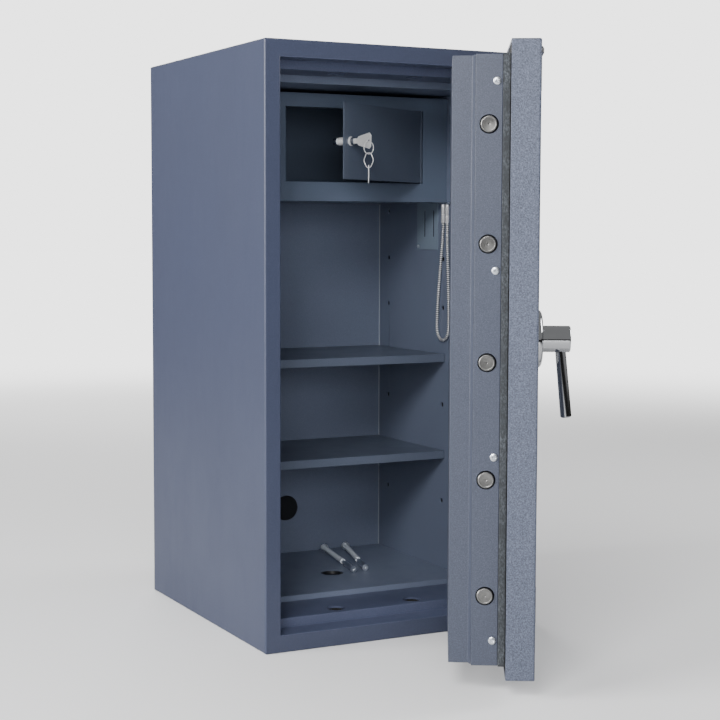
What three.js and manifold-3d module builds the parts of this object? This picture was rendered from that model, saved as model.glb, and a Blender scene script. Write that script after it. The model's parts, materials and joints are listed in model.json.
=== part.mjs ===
// A tall fireproof safe with its main door standing open and its inner locker ajar.
// Millimetres, +Z up. The origin is on the floor at the centre of the cabinet's footprint,
// +X towards the hinges and -Y towards the door.
import * as THREE from 'three';
import { mergeVertices } from 'three/addons/utils/BufferGeometryUtils.js';
import Module from 'manifold-3d';

const wasm = await Module();
wasm.setup();

// Cabinet outside
const BODY_WIDTH = 620;
const BODY_DEPTH = 640;
const BODY_HEIGHT = 1200;
const BODY_EDGE_RADIUS = 4;
const CASING_WALL = 3;

// Stepped door frame, measured inwards from the outside of the cabinet
const FRAME_SHEET = 4;
const RIM_SIDE = 33;
const RIM_BOTTOM = 35;
const RIM_TOP = 34;
const REBATE_DEPTH = 56;
const JAMB_SIDE = 50;
const SILL_HEIGHT = 54;
const HEADER_DROP = 52;
const JAMB_DEPTH = 188;
const HEADER_DEPTH = 157;

// Lining of the interior
const LINER_WALL = 3;
const FLOOR_STEP = 11;
const CEILING_STEP = 15;
const BACK_WALL = 34;

// Shelf pins, in vertical rows of holes in both side walls
const PIN_RADIUS = 4;
const PIN_HOLE_RADIUS = 4.4;
const PIN_LENGTH = 20;
const PIN_REACH = 13;
const FIRST_ROW_RISE = 154;
const ROW_PITCH = 110;
const FRONT_PINS_SETBACK = 13;
const REAR_PINS_FROM_BACK = 46;
const PIN_CHANNEL_WIDTH = 16;
const PIN_CHANNEL_DEPTH = 10;

// Shelves
const SHELF_SHEET = 2;
const SHELF_LIP = 18;
const SHELF_DEPTH = 318;
const SHELF_SIDE_GAP = 1;
const SHELF_BACK_GAP = 1;
const LOWER_SHELF_ROW = 1;
const UPPER_SHELF_ROW = 3;
const REST_GAP = 0.3;

// Inner locker, welded across the top of the interior
const LOCKER_SHEET = 3;
const LOCKER_DEPTH = 321;
const LOCKER_HEIGHT = 229;
const LOCKER_TOP_GAP = 8;
const LOCKER_STILE_LEFT = 124;
const LOCKER_STILE_RIGHT = 62;
const LOCKER_SILL = 41;
const LOCKER_HEAD = 29;
const LOCKER_RETURN_DEPTH = 25;

// Inner door and its pivots
const INNER_DOOR_ANGLE = 32;
const INNER_DOOR_SHEET = 3;
const INNER_DOOR_GAP = 1.5;
const INNER_PIVOT_INSET = 5.5;
const INNER_KNUCKLE_RADIUS = 3.5;
const INNER_PIN_RADIUS = 2;
const INNER_PIN_CLEARANCE = 0.3;
const INNER_PIN_LENGTH = 18;

// Cam lock of the inner door
const LOCK_FROM_EDGE = 24.5;
const LOCK_ABOVE_SILL = 79;
const LOCK_FLANGE_RADIUS = 9.8;
const LOCK_FLANGE_THICKNESS = 3.5;
const LOCK_BARREL_RADIUS = 8.2;
const LOCK_BARREL_LENGTH = 27;
const PLUG_RADIUS = 5.2;
const PLUG_HEAD_RADIUS = 8;
const PLUG_HEAD_LENGTH = 7;
const CAM_LENGTH = 34;
const CAM_WIDTH = 14;
const CAM_THICKNESS = 2.5;
const FORK_LENGTH = 10;
const FORK_HALF_HEIGHT = 6.2;
const FORK_GAP_HALF_HEIGHT = 2.6;
const SQUARE_HALF_WIDTH = 3.2;

// Keys
const KEY_THICKNESS = 2.2;
const KEY_BOW_LENGTH = 30.5;
const KEY_BOW_NARROW = 18;
const KEY_BOW_WIDE = 33;
const KEY_NECK_LENGTH = 8;
const KEY_BLADE_WIDTH = 7.4;
const KEY_BLADE_LENGTH = 22;
const KEY_HOLE_RADIUS = 2.5;
const BUNCH_PLAY = 0.6;
const KEY_HOLE_INSET = 6;
const WIRE_RADIUS = 0.9;
const RING_RADIUS = 13.1;
const RING_TURN = -18;
const LINK_TURN = -92;
const LINK_BREADTH = 24;
const LINK_CORNER = 7;
const LINK_DROP = 29.4;
const SPARE_TURN = -59;
const SPARE_BOW_LENGTH = 16;
const SPARE_BOW_WIDE = 19;
const SPARE_BOW_NARROW = 15;
const SPARE_NECK_LENGTH = 3;
const SPARE_BLADE_LENGTH = 18;

// Cover plate with two slots and the looped conduit, both on the right-hand wall
const SLOT_PLATE_SETBACK = 37;
const SLOT_PLATE_WIDTH = 96;
const SLOT_PLATE_HEIGHT = 106;
const SLOT_PLATE_SHEET = 1.5;
const SLOT_WIDTH = 7;
const SLOT_LENGTH = 62;
const SLOT_FOOT_RISE = 28;
const FIRST_SLOT_INSET = 20;
const SLOT_PITCH = 40;
const PLATE_SCREW_RADIUS = 4.2;
const PLATE_SCREW_HEAD = 2.4;
const PLATE_SCREW_SHANK = 2;
const PLATE_SCREW_INSET = 7;
const CONDUIT_RADIUS = 3.2;
const CONDUIT_VALLEY_RADIUS = 2.6;
const CONDUIT_BORE_RADIUS = 1.8;
const CONDUIT_RIB_PITCH = 4.4;
const CONDUIT_WALL_GAP = 5;
const BORE_STEP_ANGLE = 0.2;
const GAP_TEST_DISTANCE = 60;
const CONDUIT_REAR_SETBACK = 7;
const CONDUIT_FRONT_SETBACK = -11;
const FERRULE_RADIUS = 4.4;
const FERRULE_LENGTH = 42;
const FERRULE_NUT_RADIUS = 4.8;
const FERRULE_NUT_LENGTH = 16;
const CONDUIT_BRACKET_HEIGHT = 4;
const CONDUIT_BRACKET_MARGIN = 9;

// Holes for the anchor bolts, their plugs, and the two loose anchors
const ANCHOR_HOLE_RADIUS = 7;
const ANCHOR_WELL_RADIUS = 26;
const ANCHOR_OFF_CENTRE = 10;
const FLOOR_ANCHOR_FROM_BACK = 250;
const BACK_ANCHOR_Z = 173;
const PLUG_FLANGE_RADIUS = 30;
const PLUG_FLANGE_THICKNESS = 3;
const PLUG_SPIGOT_DEPTH = 14;
const PLUG_CLEARANCE = 0.3;
const ANCHOR_SHANK_RADIUS = 4;
const ANCHOR_SLEEVE_RADIUS = 6.3;
const ANCHOR_LENGTH = 250;
const ANCHOR_HEAD_RADIUS = 8;
const ANCHOR_HEAD_LENGTH = 8;
const ANCHOR_WASHER_RADIUS = 10;
const ANCHOR_CONE_RADIUS = 7.2;
const ANCHOR_CONE_LENGTH = 20;
const ANCHOR_CONE_RIM = 9;
const ANCHOR_END_BORE_RADIUS = 3.4;
const ANCHOR_END_BORE_DEPTH = 5;
const EXPANDER_RADIUS = 6.2;
const EXPANDER_START = 30;
const EXPANDER_END = 62;
const ANCHOR_SLEEVE_START = 86;
const ANCHOR_WASHER_THICKNESS = 2;
const ANCHOR_HEADS_FROM_BACK = 26;
const LEFT_ANCHOR_PLACE = 53.5;
const LEFT_ANCHOR_ANGLE = 10;
const RIGHT_ANCHOR_PLACE = 85.5;
const RIGHT_ANCHOR_ANGLE = 16;

// Main hinge
const HINGE_INSET = 16;
const HINGE_Y = -26;
const DOOR_ANGLE = 60;
const HINGE_PIN_RADIUS = 6;
const HINGE_PIN_CLEARANCE = 0.3;
const KNUCKLE_RADIUS = 9;
const TOP_LUG_HEIGHT = 28;
const LUG_FLARE = 3;
const BOTTOM_LUG_FOOT = 4;
const BOTTOM_LUG_TOP = 30;
const ARM_HEIGHT = 50;
const ARM_REACH = 75;
const ARM_THICKNESS = 8;
const ARM_CRANK = 6;
const CAP_RADIUS = 13;
const CAP_HEIGHT = 14;
const CAP_COLLAR = 8;
const CAP_EDGE = 3;

// Main door, in its closed place: Y is counted inwards from its outer face
const DOOR_FREE_GAP = 5;
const DOOR_HINGE_GAP = 2.5;
const DOOR_END_GAP = 2;
const DOOR_EDGE_TAPER = 1.5;
const DOOR_EDGE_RADIUS = 4;
const DOOR_THICKNESS = 52;
const DOOR_SHEET = 6;
const SEAL_THICKNESS = 13.5;
const SEAL_PROUD = 1.5;
const SEAL_WIDTH = 26;
const HOUSING_FREE_GAP = 14.5;
const HOUSING_HINGE_GAP = 14;
const HOUSING_BOTTOM_GAP = 3.5;
const HOUSING_TOP_GAP = 8;
const HOUSING_DEPTH = 47.5;
const HOUSING_WALL = 4;
const COVER_FREE_INSET = 12.5;
const COVER_END_INSET = 1.6;
const COVER_BASE_INSET = 1.2;
const COVER_BEVEL_DEPTH = 5.5;
const COVER_DEPTH = 40.5;
const COVER_WALL = 3;
const DOOR_GAP = 0.3;

// Boltwork inside the housing
const BOLT_RADIUS = 15;
const END_BOLT_RADIUS = 14.5;
const BOLT_DEPTH = 89;
const BOLT_HOLE_RADIUS = 17;
const SOCKET_RADIUS = 20;
const SOCKET_DEPTH = 34;
const SIDE_BOLT_COUNT = 5;
const LOW_SIDE_BOLT_MARGIN = 126.5;
const HIGH_SIDE_BOLT_MARGIN = 121;
const SIDE_BOLT_PROUD = 3.5;
const SIDE_BOLT_LENGTH = 51;
const SIDE_THROW = 22;
const FIRST_END_BOLT_INSET = 133.5;
const END_BOLT_PITCH = 179;
const END_BOLT_PROUD = 2.5;
const END_BOLT_LENGTH = 80;
const END_THROW = 34;
const BOLT_CHAMFER = 1.5;
const STUD_RADIUS = 5;
const BAR_THICKNESS = 5;
const LAYER_GAP = 3;
const CARRIAGE_INSET = 27.5;
const CARRIAGE_WIDTH = 44;
const CARRIAGE_END_MARGIN = 31;
const CARRIAGE_EAR_WIDTH = 92;
const CARRIAGE_EAR_HEIGHT = 80;
const LINK_WIDTH = 24;
const CROSSBAR_FROM_END = 46;
const CROSSBAR_OVERRUN = 22;
const TOP_LINK_OFFSET = 31;
const BOTTOM_LINK_OFFSET = 53;
const FOOT_HEIGHT = 20;
const GUIDE_INSET = 39.5;
const GUIDE_FROM_END_BOLTS = 107;
const EDGE_SCREW_Y = 75.5;
const EDGE_SCREW_COUNT = 4;
const LOW_EDGE_SCREW_MARGIN = 46;
const HIGH_EDGE_SCREW_MARGIN = 46.5;
const EDGE_SCREW_RADIUS = 6.8;
const EDGE_SCREW_HEAD = 3.5;
const EDGE_SCREW_SHANK = 2.5;

// Handle, its spindle and drive disc
const HANDLE_FROM_EDGE = 107;
const HANDLE_Z = 639;
const ROSETTE_RADIUS = 52;
const ROSETTE_THICKNESS = 12;
const ROSETTE_RIM = 5;
const ROSETTE_CROWN = 16;
const HUB_RADIUS = 24;
const HUB_END = 63;
const HUB_CAP = 20;
const HUB_EDGE = 3.5;
const LEVER_START_OFFSET = 43.5;
const LEVER_LENGTH = 143;
const LEVER_TILT = 5.5;
const LEVER_NECK_RADIUS = 9.5;
const LEVER_END_RADIUS = 10.1;
const LEVER_TIP_EDGE = 2;
const SPINDLE_RADIUS = 6;
const SPINDLE_CLEARANCE = 0.5;
const DISC_RADIUS = 33;
const DISC_THICKNESS = 8;
const CRANK_PIN_RADIUS = 3;
const SLOT_CLEARANCE = 1.1;

// Key lock of the main door
const KEYHOLE_ABOVE_HANDLE = 150;
const ESCUTCHEON_WIDTH = 32;
const ESCUTCHEON_HEIGHT = 64;
const ESCUTCHEON_THICKNESS = 4;
const KEYHOLE_RADIUS = 5;
const LOCK_CASE_BACKSET = 29;
const LOCK_CASE_WIDTH = 60;
const LOCK_CASE_HEIGHT = 110;
const LOCK_CASE_DEPTH = 32;

// Sides on round work
const FINE_SIDES = 32;
const ROUND_SIDES = 24;
const SMALL_SIDES = 12;
const HIDDEN_SIDES = 8;

// Places in the cabinet that follow from the sizes above
const RIGHT = BODY_WIDTH;
const TOP = BODY_HEIGHT;
const SILL_Z = SILL_HEIGHT;
const HEADER_Z = TOP - HEADER_DROP;
const JAMB_RIGHT = RIGHT - JAMB_SIDE;
const FLOOR_Z = SILL_Z + FLOOR_STEP;
const CEILING_Z = HEADER_Z - CEILING_STEP;
const BACK_Y = BODY_DEPTH - BACK_WALL;
const HINGE_X = RIGHT - HINGE_INSET;
const ANCHOR_X = RIGHT / 2 + ANCHOR_OFF_CENTRE;
const FLOOR_ANCHOR_Y = BACK_Y - FLOOR_ANCHOR_FROM_BACK;
const LOCKER_FRONT_Y = BACK_Y - LOCKER_DEPTH;
const LOCKER_TOP = CEILING_Z - LOCKER_TOP_GAP;
const LOCKER_BOTTOM = LOCKER_TOP - LOCKER_HEIGHT;
const LOCKER_OPENING_LEFT = JAMB_SIDE + LOCKER_STILE_LEFT;
const LOCKER_OPENING_RIGHT = JAMB_RIGHT - LOCKER_STILE_RIGHT;
const LOCKER_OPENING_BOTTOM = LOCKER_BOTTOM + LOCKER_SILL;
const LOCKER_OPENING_TOP = LOCKER_TOP - LOCKER_HEAD;
const LOCK_HEIGHT = LOCKER_OPENING_BOTTOM + LOCK_ABOVE_SILL;
const SHELF_FRONT_Y = BACK_Y - SHELF_BACK_GAP - SHELF_DEPTH;
const FIRST_ROW = FLOOR_Z + FIRST_ROW_RISE;
const PIN_ROWS = Math.floor((LOCKER_BOTTOM - FIRST_ROW) / ROW_PITCH) + 1;
const FRONT_PINS_Y = SHELF_FRONT_Y + FRONT_PINS_SETBACK;
const REAR_PINS_Y = BACK_Y - REAR_PINS_FROM_BACK;
const SLOT_PLATE_FRONT = LOCKER_FRONT_Y + SLOT_PLATE_SETBACK;
const SLOT_PLATE_BACK = SLOT_PLATE_FRONT + SLOT_PLATE_WIDTH;
const SLOT_PLATE_BOTTOM = LOCKER_BOTTOM - SLOT_PLATE_HEIGHT;
const SLOT_POSITIONS = [0, 1].map((index) => SLOT_PLATE_FRONT + FIRST_SLOT_INSET + index * SLOT_PITCH);
const CONDUIT_X = JAMB_RIGHT - CONDUIT_WALL_GAP;
const CONDUIT_FRONT_Y = LOCKER_FRONT_Y + CONDUIT_FRONT_SETBACK;
const CONDUIT_REAR_Y = LOCKER_FRONT_Y + CONDUIT_REAR_SETBACK;
const BRACKET_BOTTOM = LOCKER_BOTTOM - CONDUIT_BRACKET_HEIGHT;
const NUT_BOTTOM = BRACKET_BOTTOM - FERRULE_LENGTH;
const CONDUIT_TOP = NUT_BOTTOM - REST_GAP;

// Places in the door, as it stands closed
const DOOR_FREE_X = RIM_SIDE + DOOR_FREE_GAP;
const HOUSING_FREE_X = JAMB_SIDE + HOUSING_FREE_GAP;
const HOUSING_HINGE_X = JAMB_RIGHT - HOUSING_HINGE_GAP;
const HOUSING_BOTTOM = SILL_Z + HOUSING_BOTTOM_GAP;
const HOUSING_TOP = HEADER_Z - HOUSING_TOP_GAP;
const FIRST_SIDE_BOLT = HOUSING_BOTTOM + LOW_SIDE_BOLT_MARGIN;
const LAST_SIDE_BOLT = HOUSING_TOP - HIGH_SIDE_BOLT_MARGIN;
const SIDE_BOLT_PITCH = (LAST_SIDE_BOLT - FIRST_SIDE_BOLT) / (SIDE_BOLT_COUNT - 1);
const FIRST_EDGE_SCREW = HOUSING_BOTTOM + LOW_EDGE_SCREW_MARGIN;
const EDGE_SCREW_SPAN = HOUSING_TOP - HIGH_EDGE_SCREW_MARGIN - FIRST_EDGE_SCREW;
const EDGE_SCREW_PITCH = EDGE_SCREW_SPAN / (EDGE_SCREW_COUNT - 1);
const END_BOLT_POSITIONS = [0, 1].map((index) => HOUSING_FREE_X + FIRST_END_BOLT_INSET + index * END_BOLT_PITCH);
const CARRIAGE_LEFT = HOUSING_FREE_X + CARRIAGE_INSET;
const CROSSBAR_RIGHT = END_BOLT_POSITIONS[1] + CROSSBAR_OVERRUN;
const GUIDE_X = HOUSING_FREE_X + GUIDE_INSET;
const LOWER_GUIDE_Z = FIRST_SIDE_BOLT + GUIDE_FROM_END_BOLTS;
const UPPER_GUIDE_Z = LAST_SIDE_BOLT - GUIDE_FROM_END_BOLTS;
const HANDLE_X = DOOR_FREE_X + HANDLE_FROM_EDGE;
const LOCK_CASE_LEFT = HANDLE_X - LOCK_CASE_BACKSET;
const HOUSING_Y = DOOR_THICKNESS + SEAL_THICKNESS;
const HOUSING_BACK = HOUSING_Y + HOUSING_DEPTH;
const CARRIAGE_Y = BOLT_DEPTH + BOLT_RADIUS + DOOR_GAP;
const LINK_Y = CARRIAGE_Y + BAR_THICKNESS + LAYER_GAP;
const DISC_Y = LINK_Y + BAR_THICKNESS + LAYER_GAP;
const SIDE_CRANK = SIDE_THROW / 2 / Math.SQRT1_2;
const END_CRANK = END_THROW / 2 / Math.SQRT1_2;
const KEYHOLE_Z = HANDLE_Z + KEYHOLE_ABOVE_HANDLE;
const INNER_PIVOT_X = LOCKER_OPENING_RIGHT - INNER_PIVOT_INSET;
const INNER_PIVOT_Y = LOCKER_FRONT_Y + INNER_DOOR_SHEET / 2;
const INNER_DOOR_LEFT = LOCKER_OPENING_LEFT + INNER_DOOR_GAP;
const LOCK_X = INNER_DOOR_LEFT + LOCK_FROM_EDGE;
const BARREL_FRONT = LOCKER_FRONT_Y - DOOR_GAP - LOCK_FLANGE_THICKNESS;
const BARREL_BACK = LOCKER_FRONT_Y + LOCK_BARREL_LENGTH;
const CAM_Y = BARREL_BACK + DOOR_GAP;
const PLUG_FRONT = BARREL_FRONT - DOOR_GAP - PLUG_HEAD_LENGTH;
const KEY_BOW_END = PLUG_FRONT - DOOR_GAP - KEY_NECK_LENGTH - KEY_BOW_LENGTH;

// Finishes of the plain model
const EXTERIOR_COAT = { color: 0x666f84, roughness: 0.55, metalness: 0.25 };
const DOOR_COAT = { color: 0x6b7484, roughness: 0.7, metalness: 0.25 };
const INTERIOR_COAT = { color: 0x3d4450, roughness: 0.45, metalness: 0.25 };
const LOCKER_COAT = { color: 0x35465a, roughness: 0.5, metalness: 0.25 };
const CHROME = { color: 0xd0d2d6, roughness: 0.12, metalness: 1 };
const BOLT_STEEL = { color: 0xa9aaac, roughness: 0.28, metalness: 1 };
const PLATE_STEEL = { color: 0x8b8f94, roughness: 0.4, metalness: 0.9 };
const ZINC = { color: 0xc4c9cf, roughness: 0.25, metalness: 1 };
const SEAL = { color: 0x3c3f45, roughness: 0.95, metalness: 0 };
const FILL = { color: 0xb9b5aa, roughness: 0.95, metalness: 0 };
const BLACK_PLASTIC = { color: 0x15171b, roughness: 0.45, metalness: 0 };

// Solids from three.js geometry, and back
function solidOf(geometry) {
  const bare = geometry.clone();
  bare.deleteAttribute('normal');
  bare.deleteAttribute('uv');
  const merged = mergeVertices(bare, 1e-4);
  const mesh = new wasm.Mesh({
    numProp: 3,
    vertProperties: new Float32Array(merged.attributes.position.array),
    triVerts: new Uint32Array(merged.index.array),
  });
  return new wasm.Manifold(mesh);
}

function geometryOf(solid) {
  const mesh = solid.getMesh();
  const geometry = new THREE.BufferGeometry();
  geometry.setAttribute('position', new THREE.Float32BufferAttribute(mesh.vertProperties, 3));
  geometry.setIndex(Array.from(mesh.triVerts));
  geometry.computeVertexNormals();
  return geometry;
}

function joined(...solids) {
  return solids.reduce((whole, piece) => whole.add(piece));
}

function cut(whole, ...tools) {
  return tools.reduce((rest, tool) => rest.subtract(tool), whole);
}

// A box between two limits on each axis
function box(x, y, z) {
  const geometry = new THREE.BoxGeometry(x[1] - x[0], y[1] - y[0], z[1] - z[0]);
  geometry.translate((x[0] + x[1]) / 2, (y[0] + y[1]) / 2, (z[0] + z[1]) / 2);
  return solidOf(geometry);
}

// Outlines pushed along one axis. An outline along Y is drawn in X and Z, one along X in Y and Z.
function alongZ(outline, from, to, segments = 5) {
  const geometry = new THREE.ExtrudeGeometry(outline, {
    depth: to - from,
    bevelEnabled: false,
    curveSegments: segments,
  });
  geometry.translate(0, 0, from);
  return geometry;
}

function alongY(outline, from, to, segments = 5) {
  const geometry = alongZ(outline, -to, -from, segments);
  geometry.rotateX(Math.PI / 2);
  return geometry;
}

function alongX(outline, from, to, segments = 5) {
  const geometry = alongZ(outline, from, to, segments);
  const turned = new THREE.Matrix4().makeBasis(
    new THREE.Vector3(0, 1, 0),
    new THREE.Vector3(0, 0, 1),
    new THREE.Vector3(1, 0, 0),
  );
  geometry.applyMatrix4(turned);
  return geometry;
}

// Round bars whose axis runs along X, Y or Z from a start point
function rod(axis, start, length, radius, sides = ROUND_SIDES) {
  const geometry = new THREE.CylinderGeometry(radius, radius, length, sides);
  geometry.translate(0, length / 2, 0);
  return placeOnAxis(geometry, axis, start);
}

function placeOnAxis(geometry, axis, start) {
  if (axis === 'x') geometry.rotateZ(-Math.PI / 2);
  if (axis === 'z') geometry.rotateX(Math.PI / 2);
  geometry.translate(...start);
  return solidOf(geometry);
}

// A turned piece. The profile holds [radius, distance along the axis] from axis to axis.
function turned(axis, start, profile, sides = ROUND_SIDES) {
  const points = profile.map(([radius, along]) => new THREE.Vector2(radius, along));
  return placeOnAxis(new THREE.LatheGeometry(points, sides), axis, start);
}

function rectangle(x, y, radius = 0) {
  const outline = new THREE.Shape();
  if (radius === 0) {
    outline.moveTo(x[0], y[0]).lineTo(x[1], y[0]).lineTo(x[1], y[1]).lineTo(x[0], y[1]);
    return outline;
  }
  outline.absarc(x[1] - radius, y[0] + radius, radius, -Math.PI / 2, 0);
  outline.absarc(x[1] - radius, y[1] - radius, radius, 0, Math.PI / 2);
  outline.absarc(x[0] + radius, y[1] - radius, radius, Math.PI / 2, Math.PI);
  outline.absarc(x[0] + radius, y[0] + radius, radius, Math.PI, Math.PI * 1.5);
  return outline;
}

function polygon(points) {
  return new THREE.Shape(points.map(([x, y]) => new THREE.Vector2(x, y)));
}

// A slot with round ends, drawn upright around its centre
function slotOutline(x, z, width, length) {
  return rectangle([x - width / 2, x + width / 2], [z - length / 2, z + length / 2], width / 2 - 0.01);
}

// An outline drawn from the front edge, with its two front corners rounded
function frontRounded(side, depth, radius) {
  const outline = new THREE.Shape();
  outline.moveTo(side[0], depth);
  outline.lineTo(side[0], radius);
  outline.absarc(side[0] + radius, radius, radius, Math.PI, Math.PI * 1.5);
  outline.absarc(side[1] - radius, radius, radius, -Math.PI / 2, 0);
  outline.lineTo(side[1], depth);
  return outline;
}

// A block whose front edges and the edges that run back from them are all rounded
function roundedFrontBlock(x, z, depth, radius) {
  const face = solidOf(alongY(rectangle(x, z, radius), 0, depth));
  const plan = solidOf(alongZ(frontRounded(x, depth, radius), z[0], z[1]));
  const upright = new THREE.Shape();
  upright.moveTo(depth, z[0]);
  upright.lineTo(depth, z[1]);
  upright.lineTo(radius, z[1]);
  upright.absarc(radius, z[1] - radius, radius, Math.PI / 2, Math.PI);
  upright.absarc(radius, z[0] + radius, radius, Math.PI, Math.PI * 1.5);
  const section = solidOf(alongX(upright, x[0], x[1]));
  return face.intersect(plan).intersect(section);
}

// A frustum between two rectangles that face each other along Y
function frustum(nearX, nearZ, nearY, farX, farZ, farY) {
  const corners = [];
  for (const [x, z, y] of [[nearX, nearZ, nearY], [farX, farZ, farY]]) {
    corners.push(x[0], y, z[0], x[1], y, z[0], x[1], y, z[1], x[0], y, z[1]);
  }
  const faces = [0, 1, 2, 0, 2, 3, 4, 6, 5, 4, 7, 6];
  for (let side = 0; side < 4; side += 1) {
    const next = (side + 1) % 4;
    faces.push(side, side + 4, next, next, side + 4, next + 4);
  }
  const geometry = new THREE.BufferGeometry();
  geometry.setAttribute('position', new THREE.Float32BufferAttribute(corners, 3));
  geometry.setIndex(faces);
  return solidOf(geometry);
}

function grown(limits, by) {
  return [limits[0] - by, limits[1] + by];
}

function addPiece(group, name, solid, finish) {
  const mesh = new THREE.Mesh(geometryOf(solid), new THREE.MeshStandardMaterial(finish));
  mesh.name = name;
  group.add(mesh);
  return mesh;
}

const RIM_X = [RIM_SIDE, RIGHT - RIM_SIDE];
const RIM_Z = [RIM_BOTTOM, TOP - RIM_TOP];
const JAMB_X = [JAMB_SIDE, JAMB_RIGHT];
const JAMB_Z = [SILL_Z, HEADER_Z];
const LINER_X = grown(JAMB_X, LINER_WALL);
const LINER_Z = [FLOOR_Z - LINER_WALL, CEILING_Z + LINER_WALL];
const LINER_BACK = BACK_Y + LINER_WALL;

function sideBoltHeights() {
  return Array.from({ length: SIDE_BOLT_COUNT }, (_, row) => FIRST_SIDE_BOLT + row * SIDE_BOLT_PITCH);
}

function pinHeight(row) {
  return FIRST_ROW + row * ROW_PITCH;
}

// Rows that hold no shelf keep their open holes
function freePinHeights() {
  const rows = Array.from({ length: PIN_ROWS }, (_, row) => row);
  return rows.filter((row) => row !== LOWER_SHELF_ROW && row !== UPPER_SHELF_ROW).map(pinHeight);
}

// The sockets that take the thrown bolts, as tools that cut the frame and the fill
function boltSockets(radius, depth, sides) {
  const jamb = sideBoltHeights().map((z) => (
    rod('x', [JAMB_SIDE - depth, BOLT_DEPTH, z], depth + 1, radius, sides)));
  const ends = END_BOLT_POSITIONS.flatMap((x) => [
    rod('z', [x, BOLT_DEPTH, SILL_Z - depth], depth + 1, radius, sides),
    rod('z', [x, BOLT_DEPTH, HEADER_Z - 1], depth + 1, radius, sides),
  ]);
  return [...jamb, ...ends];
}

// Wells through the liner and the fill, and the small holes through the casing
function anchorWells(radius) {
  return [
    rod('z', [ANCHOR_X, FLOOR_ANCHOR_Y, CASING_WALL], FLOOR_Z - CASING_WALL + 1, radius),
    rod('y', [ANCHOR_X, BACK_Y - 1, BACK_ANCHOR_Z], BACK_WALL - CASING_WALL + 1, radius),
  ];
}

function makeOuterCasing() {
  const outside = roundedFrontBlock([0, RIGHT], [0, TOP], BODY_DEPTH, BODY_EDGE_RADIUS);
  const behindFrame = box([-1, RIGHT + 1], [FRAME_SHEET, BODY_DEPTH + 1], [-1, TOP + 1]);
  const inside = box(
    [CASING_WALL, RIGHT - CASING_WALL],
    [FRAME_SHEET - 1, BODY_DEPTH - CASING_WALL],
    [CASING_WALL, TOP - CASING_WALL],
  );
  const holes = [
    rod('z', [ANCHOR_X, FLOOR_ANCHOR_Y, -1], CASING_WALL + 2, ANCHOR_HOLE_RADIUS, SMALL_SIDES),
    rod('y', [ANCHOR_X, BODY_DEPTH - CASING_WALL - 1, BACK_ANCHOR_Z], CASING_WALL + 2, ANCHOR_HOLE_RADIUS, SMALL_SIDES),
  ];
  return cut(outside.intersect(behindFrame), inside, ...holes);
}

// The frame is one folded ring: front face, rebate wall, step and jamb
function makeDoorFrame() {
  const outside = roundedFrontBlock([0, RIGHT], [0, TOP], FRAME_SHEET, BODY_EDGE_RADIUS - 0.5);
  const rebateWall = box(grown(RIM_X, FRAME_SHEET), [0.5, REBATE_DEPTH + FRAME_SHEET], grown(RIM_Z, FRAME_SHEET));
  const jambWall = box(grown(JAMB_X, FRAME_SHEET), [REBATE_DEPTH, JAMB_DEPTH], grown(JAMB_Z, FRAME_SHEET));
  const rebate = box(RIM_X, [-1, REBATE_DEPTH], RIM_Z);
  const throat = box(JAMB_X, [-1, JAMB_DEPTH + 1], JAMB_Z);
  const shortHeader = box(JAMB_X, [HEADER_DEPTH, JAMB_DEPTH + 1], [HEADER_Z - 1, HEADER_Z + FRAME_SHEET + 1]);
  const whole = joined(outside, rebateWall, jambWall);
  return cut(whole, rebate, throat, shortHeader, ...boltSockets(SOCKET_RADIUS - 1, FRAME_SHEET + 1, 20));
}

function makeFireFill() {
  const block = box(
    [CASING_WALL, RIGHT - CASING_WALL],
    [FRAME_SHEET, BODY_DEPTH - CASING_WALL],
    [CASING_WALL, TOP - CASING_WALL],
  );
  const rebateSpace = box(grown(RIM_X, FRAME_SHEET), [0, REBATE_DEPTH + FRAME_SHEET], grown(RIM_Z, FRAME_SHEET));
  const jambSpace = box(grown(JAMB_X, FRAME_SHEET), [0, JAMB_DEPTH + LINER_WALL], grown(JAMB_Z, FRAME_SHEET));
  const linerSpace = box(LINER_X, [0, LINER_BACK], LINER_Z);
  const channels = [];
  const channelZ = [FIRST_ROW - PIN_CHANNEL_WIDTH, FIRST_ROW + (PIN_ROWS - 1) * ROW_PITCH + PIN_CHANNEL_WIDTH];
  for (const y of [FRONT_PINS_Y, REAR_PINS_Y]) {
    const channelY = [y - PIN_CHANNEL_WIDTH / 2, y + PIN_CHANNEL_WIDTH / 2];
    channels.push(box([LINER_X[0] - PIN_CHANNEL_DEPTH, LINER_X[0] + 1], channelY, channelZ));
    channels.push(box([LINER_X[1] - 1, LINER_X[1] + PIN_CHANNEL_DEPTH], channelY, channelZ));
  }
  const sockets = boltSockets(SOCKET_RADIUS, SOCKET_DEPTH, 12);
  return cut(block, rebateSpace, jambSpace, linerSpace, ...channels, ...sockets, ...anchorWells(ANCHOR_WELL_RADIUS));
}

// A plain peg through the liner sheet
function shelfPin(side, y, z) {
  const wall = side < 0 ? JAMB_X[0] : JAMB_X[1];
  const nose = wall - side * PIN_REACH;
  const start = side < 0 ? nose - PIN_LENGTH : nose;
  return rod('x', [start, y, z], PIN_LENGTH, PIN_RADIUS, 10);
}

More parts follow.
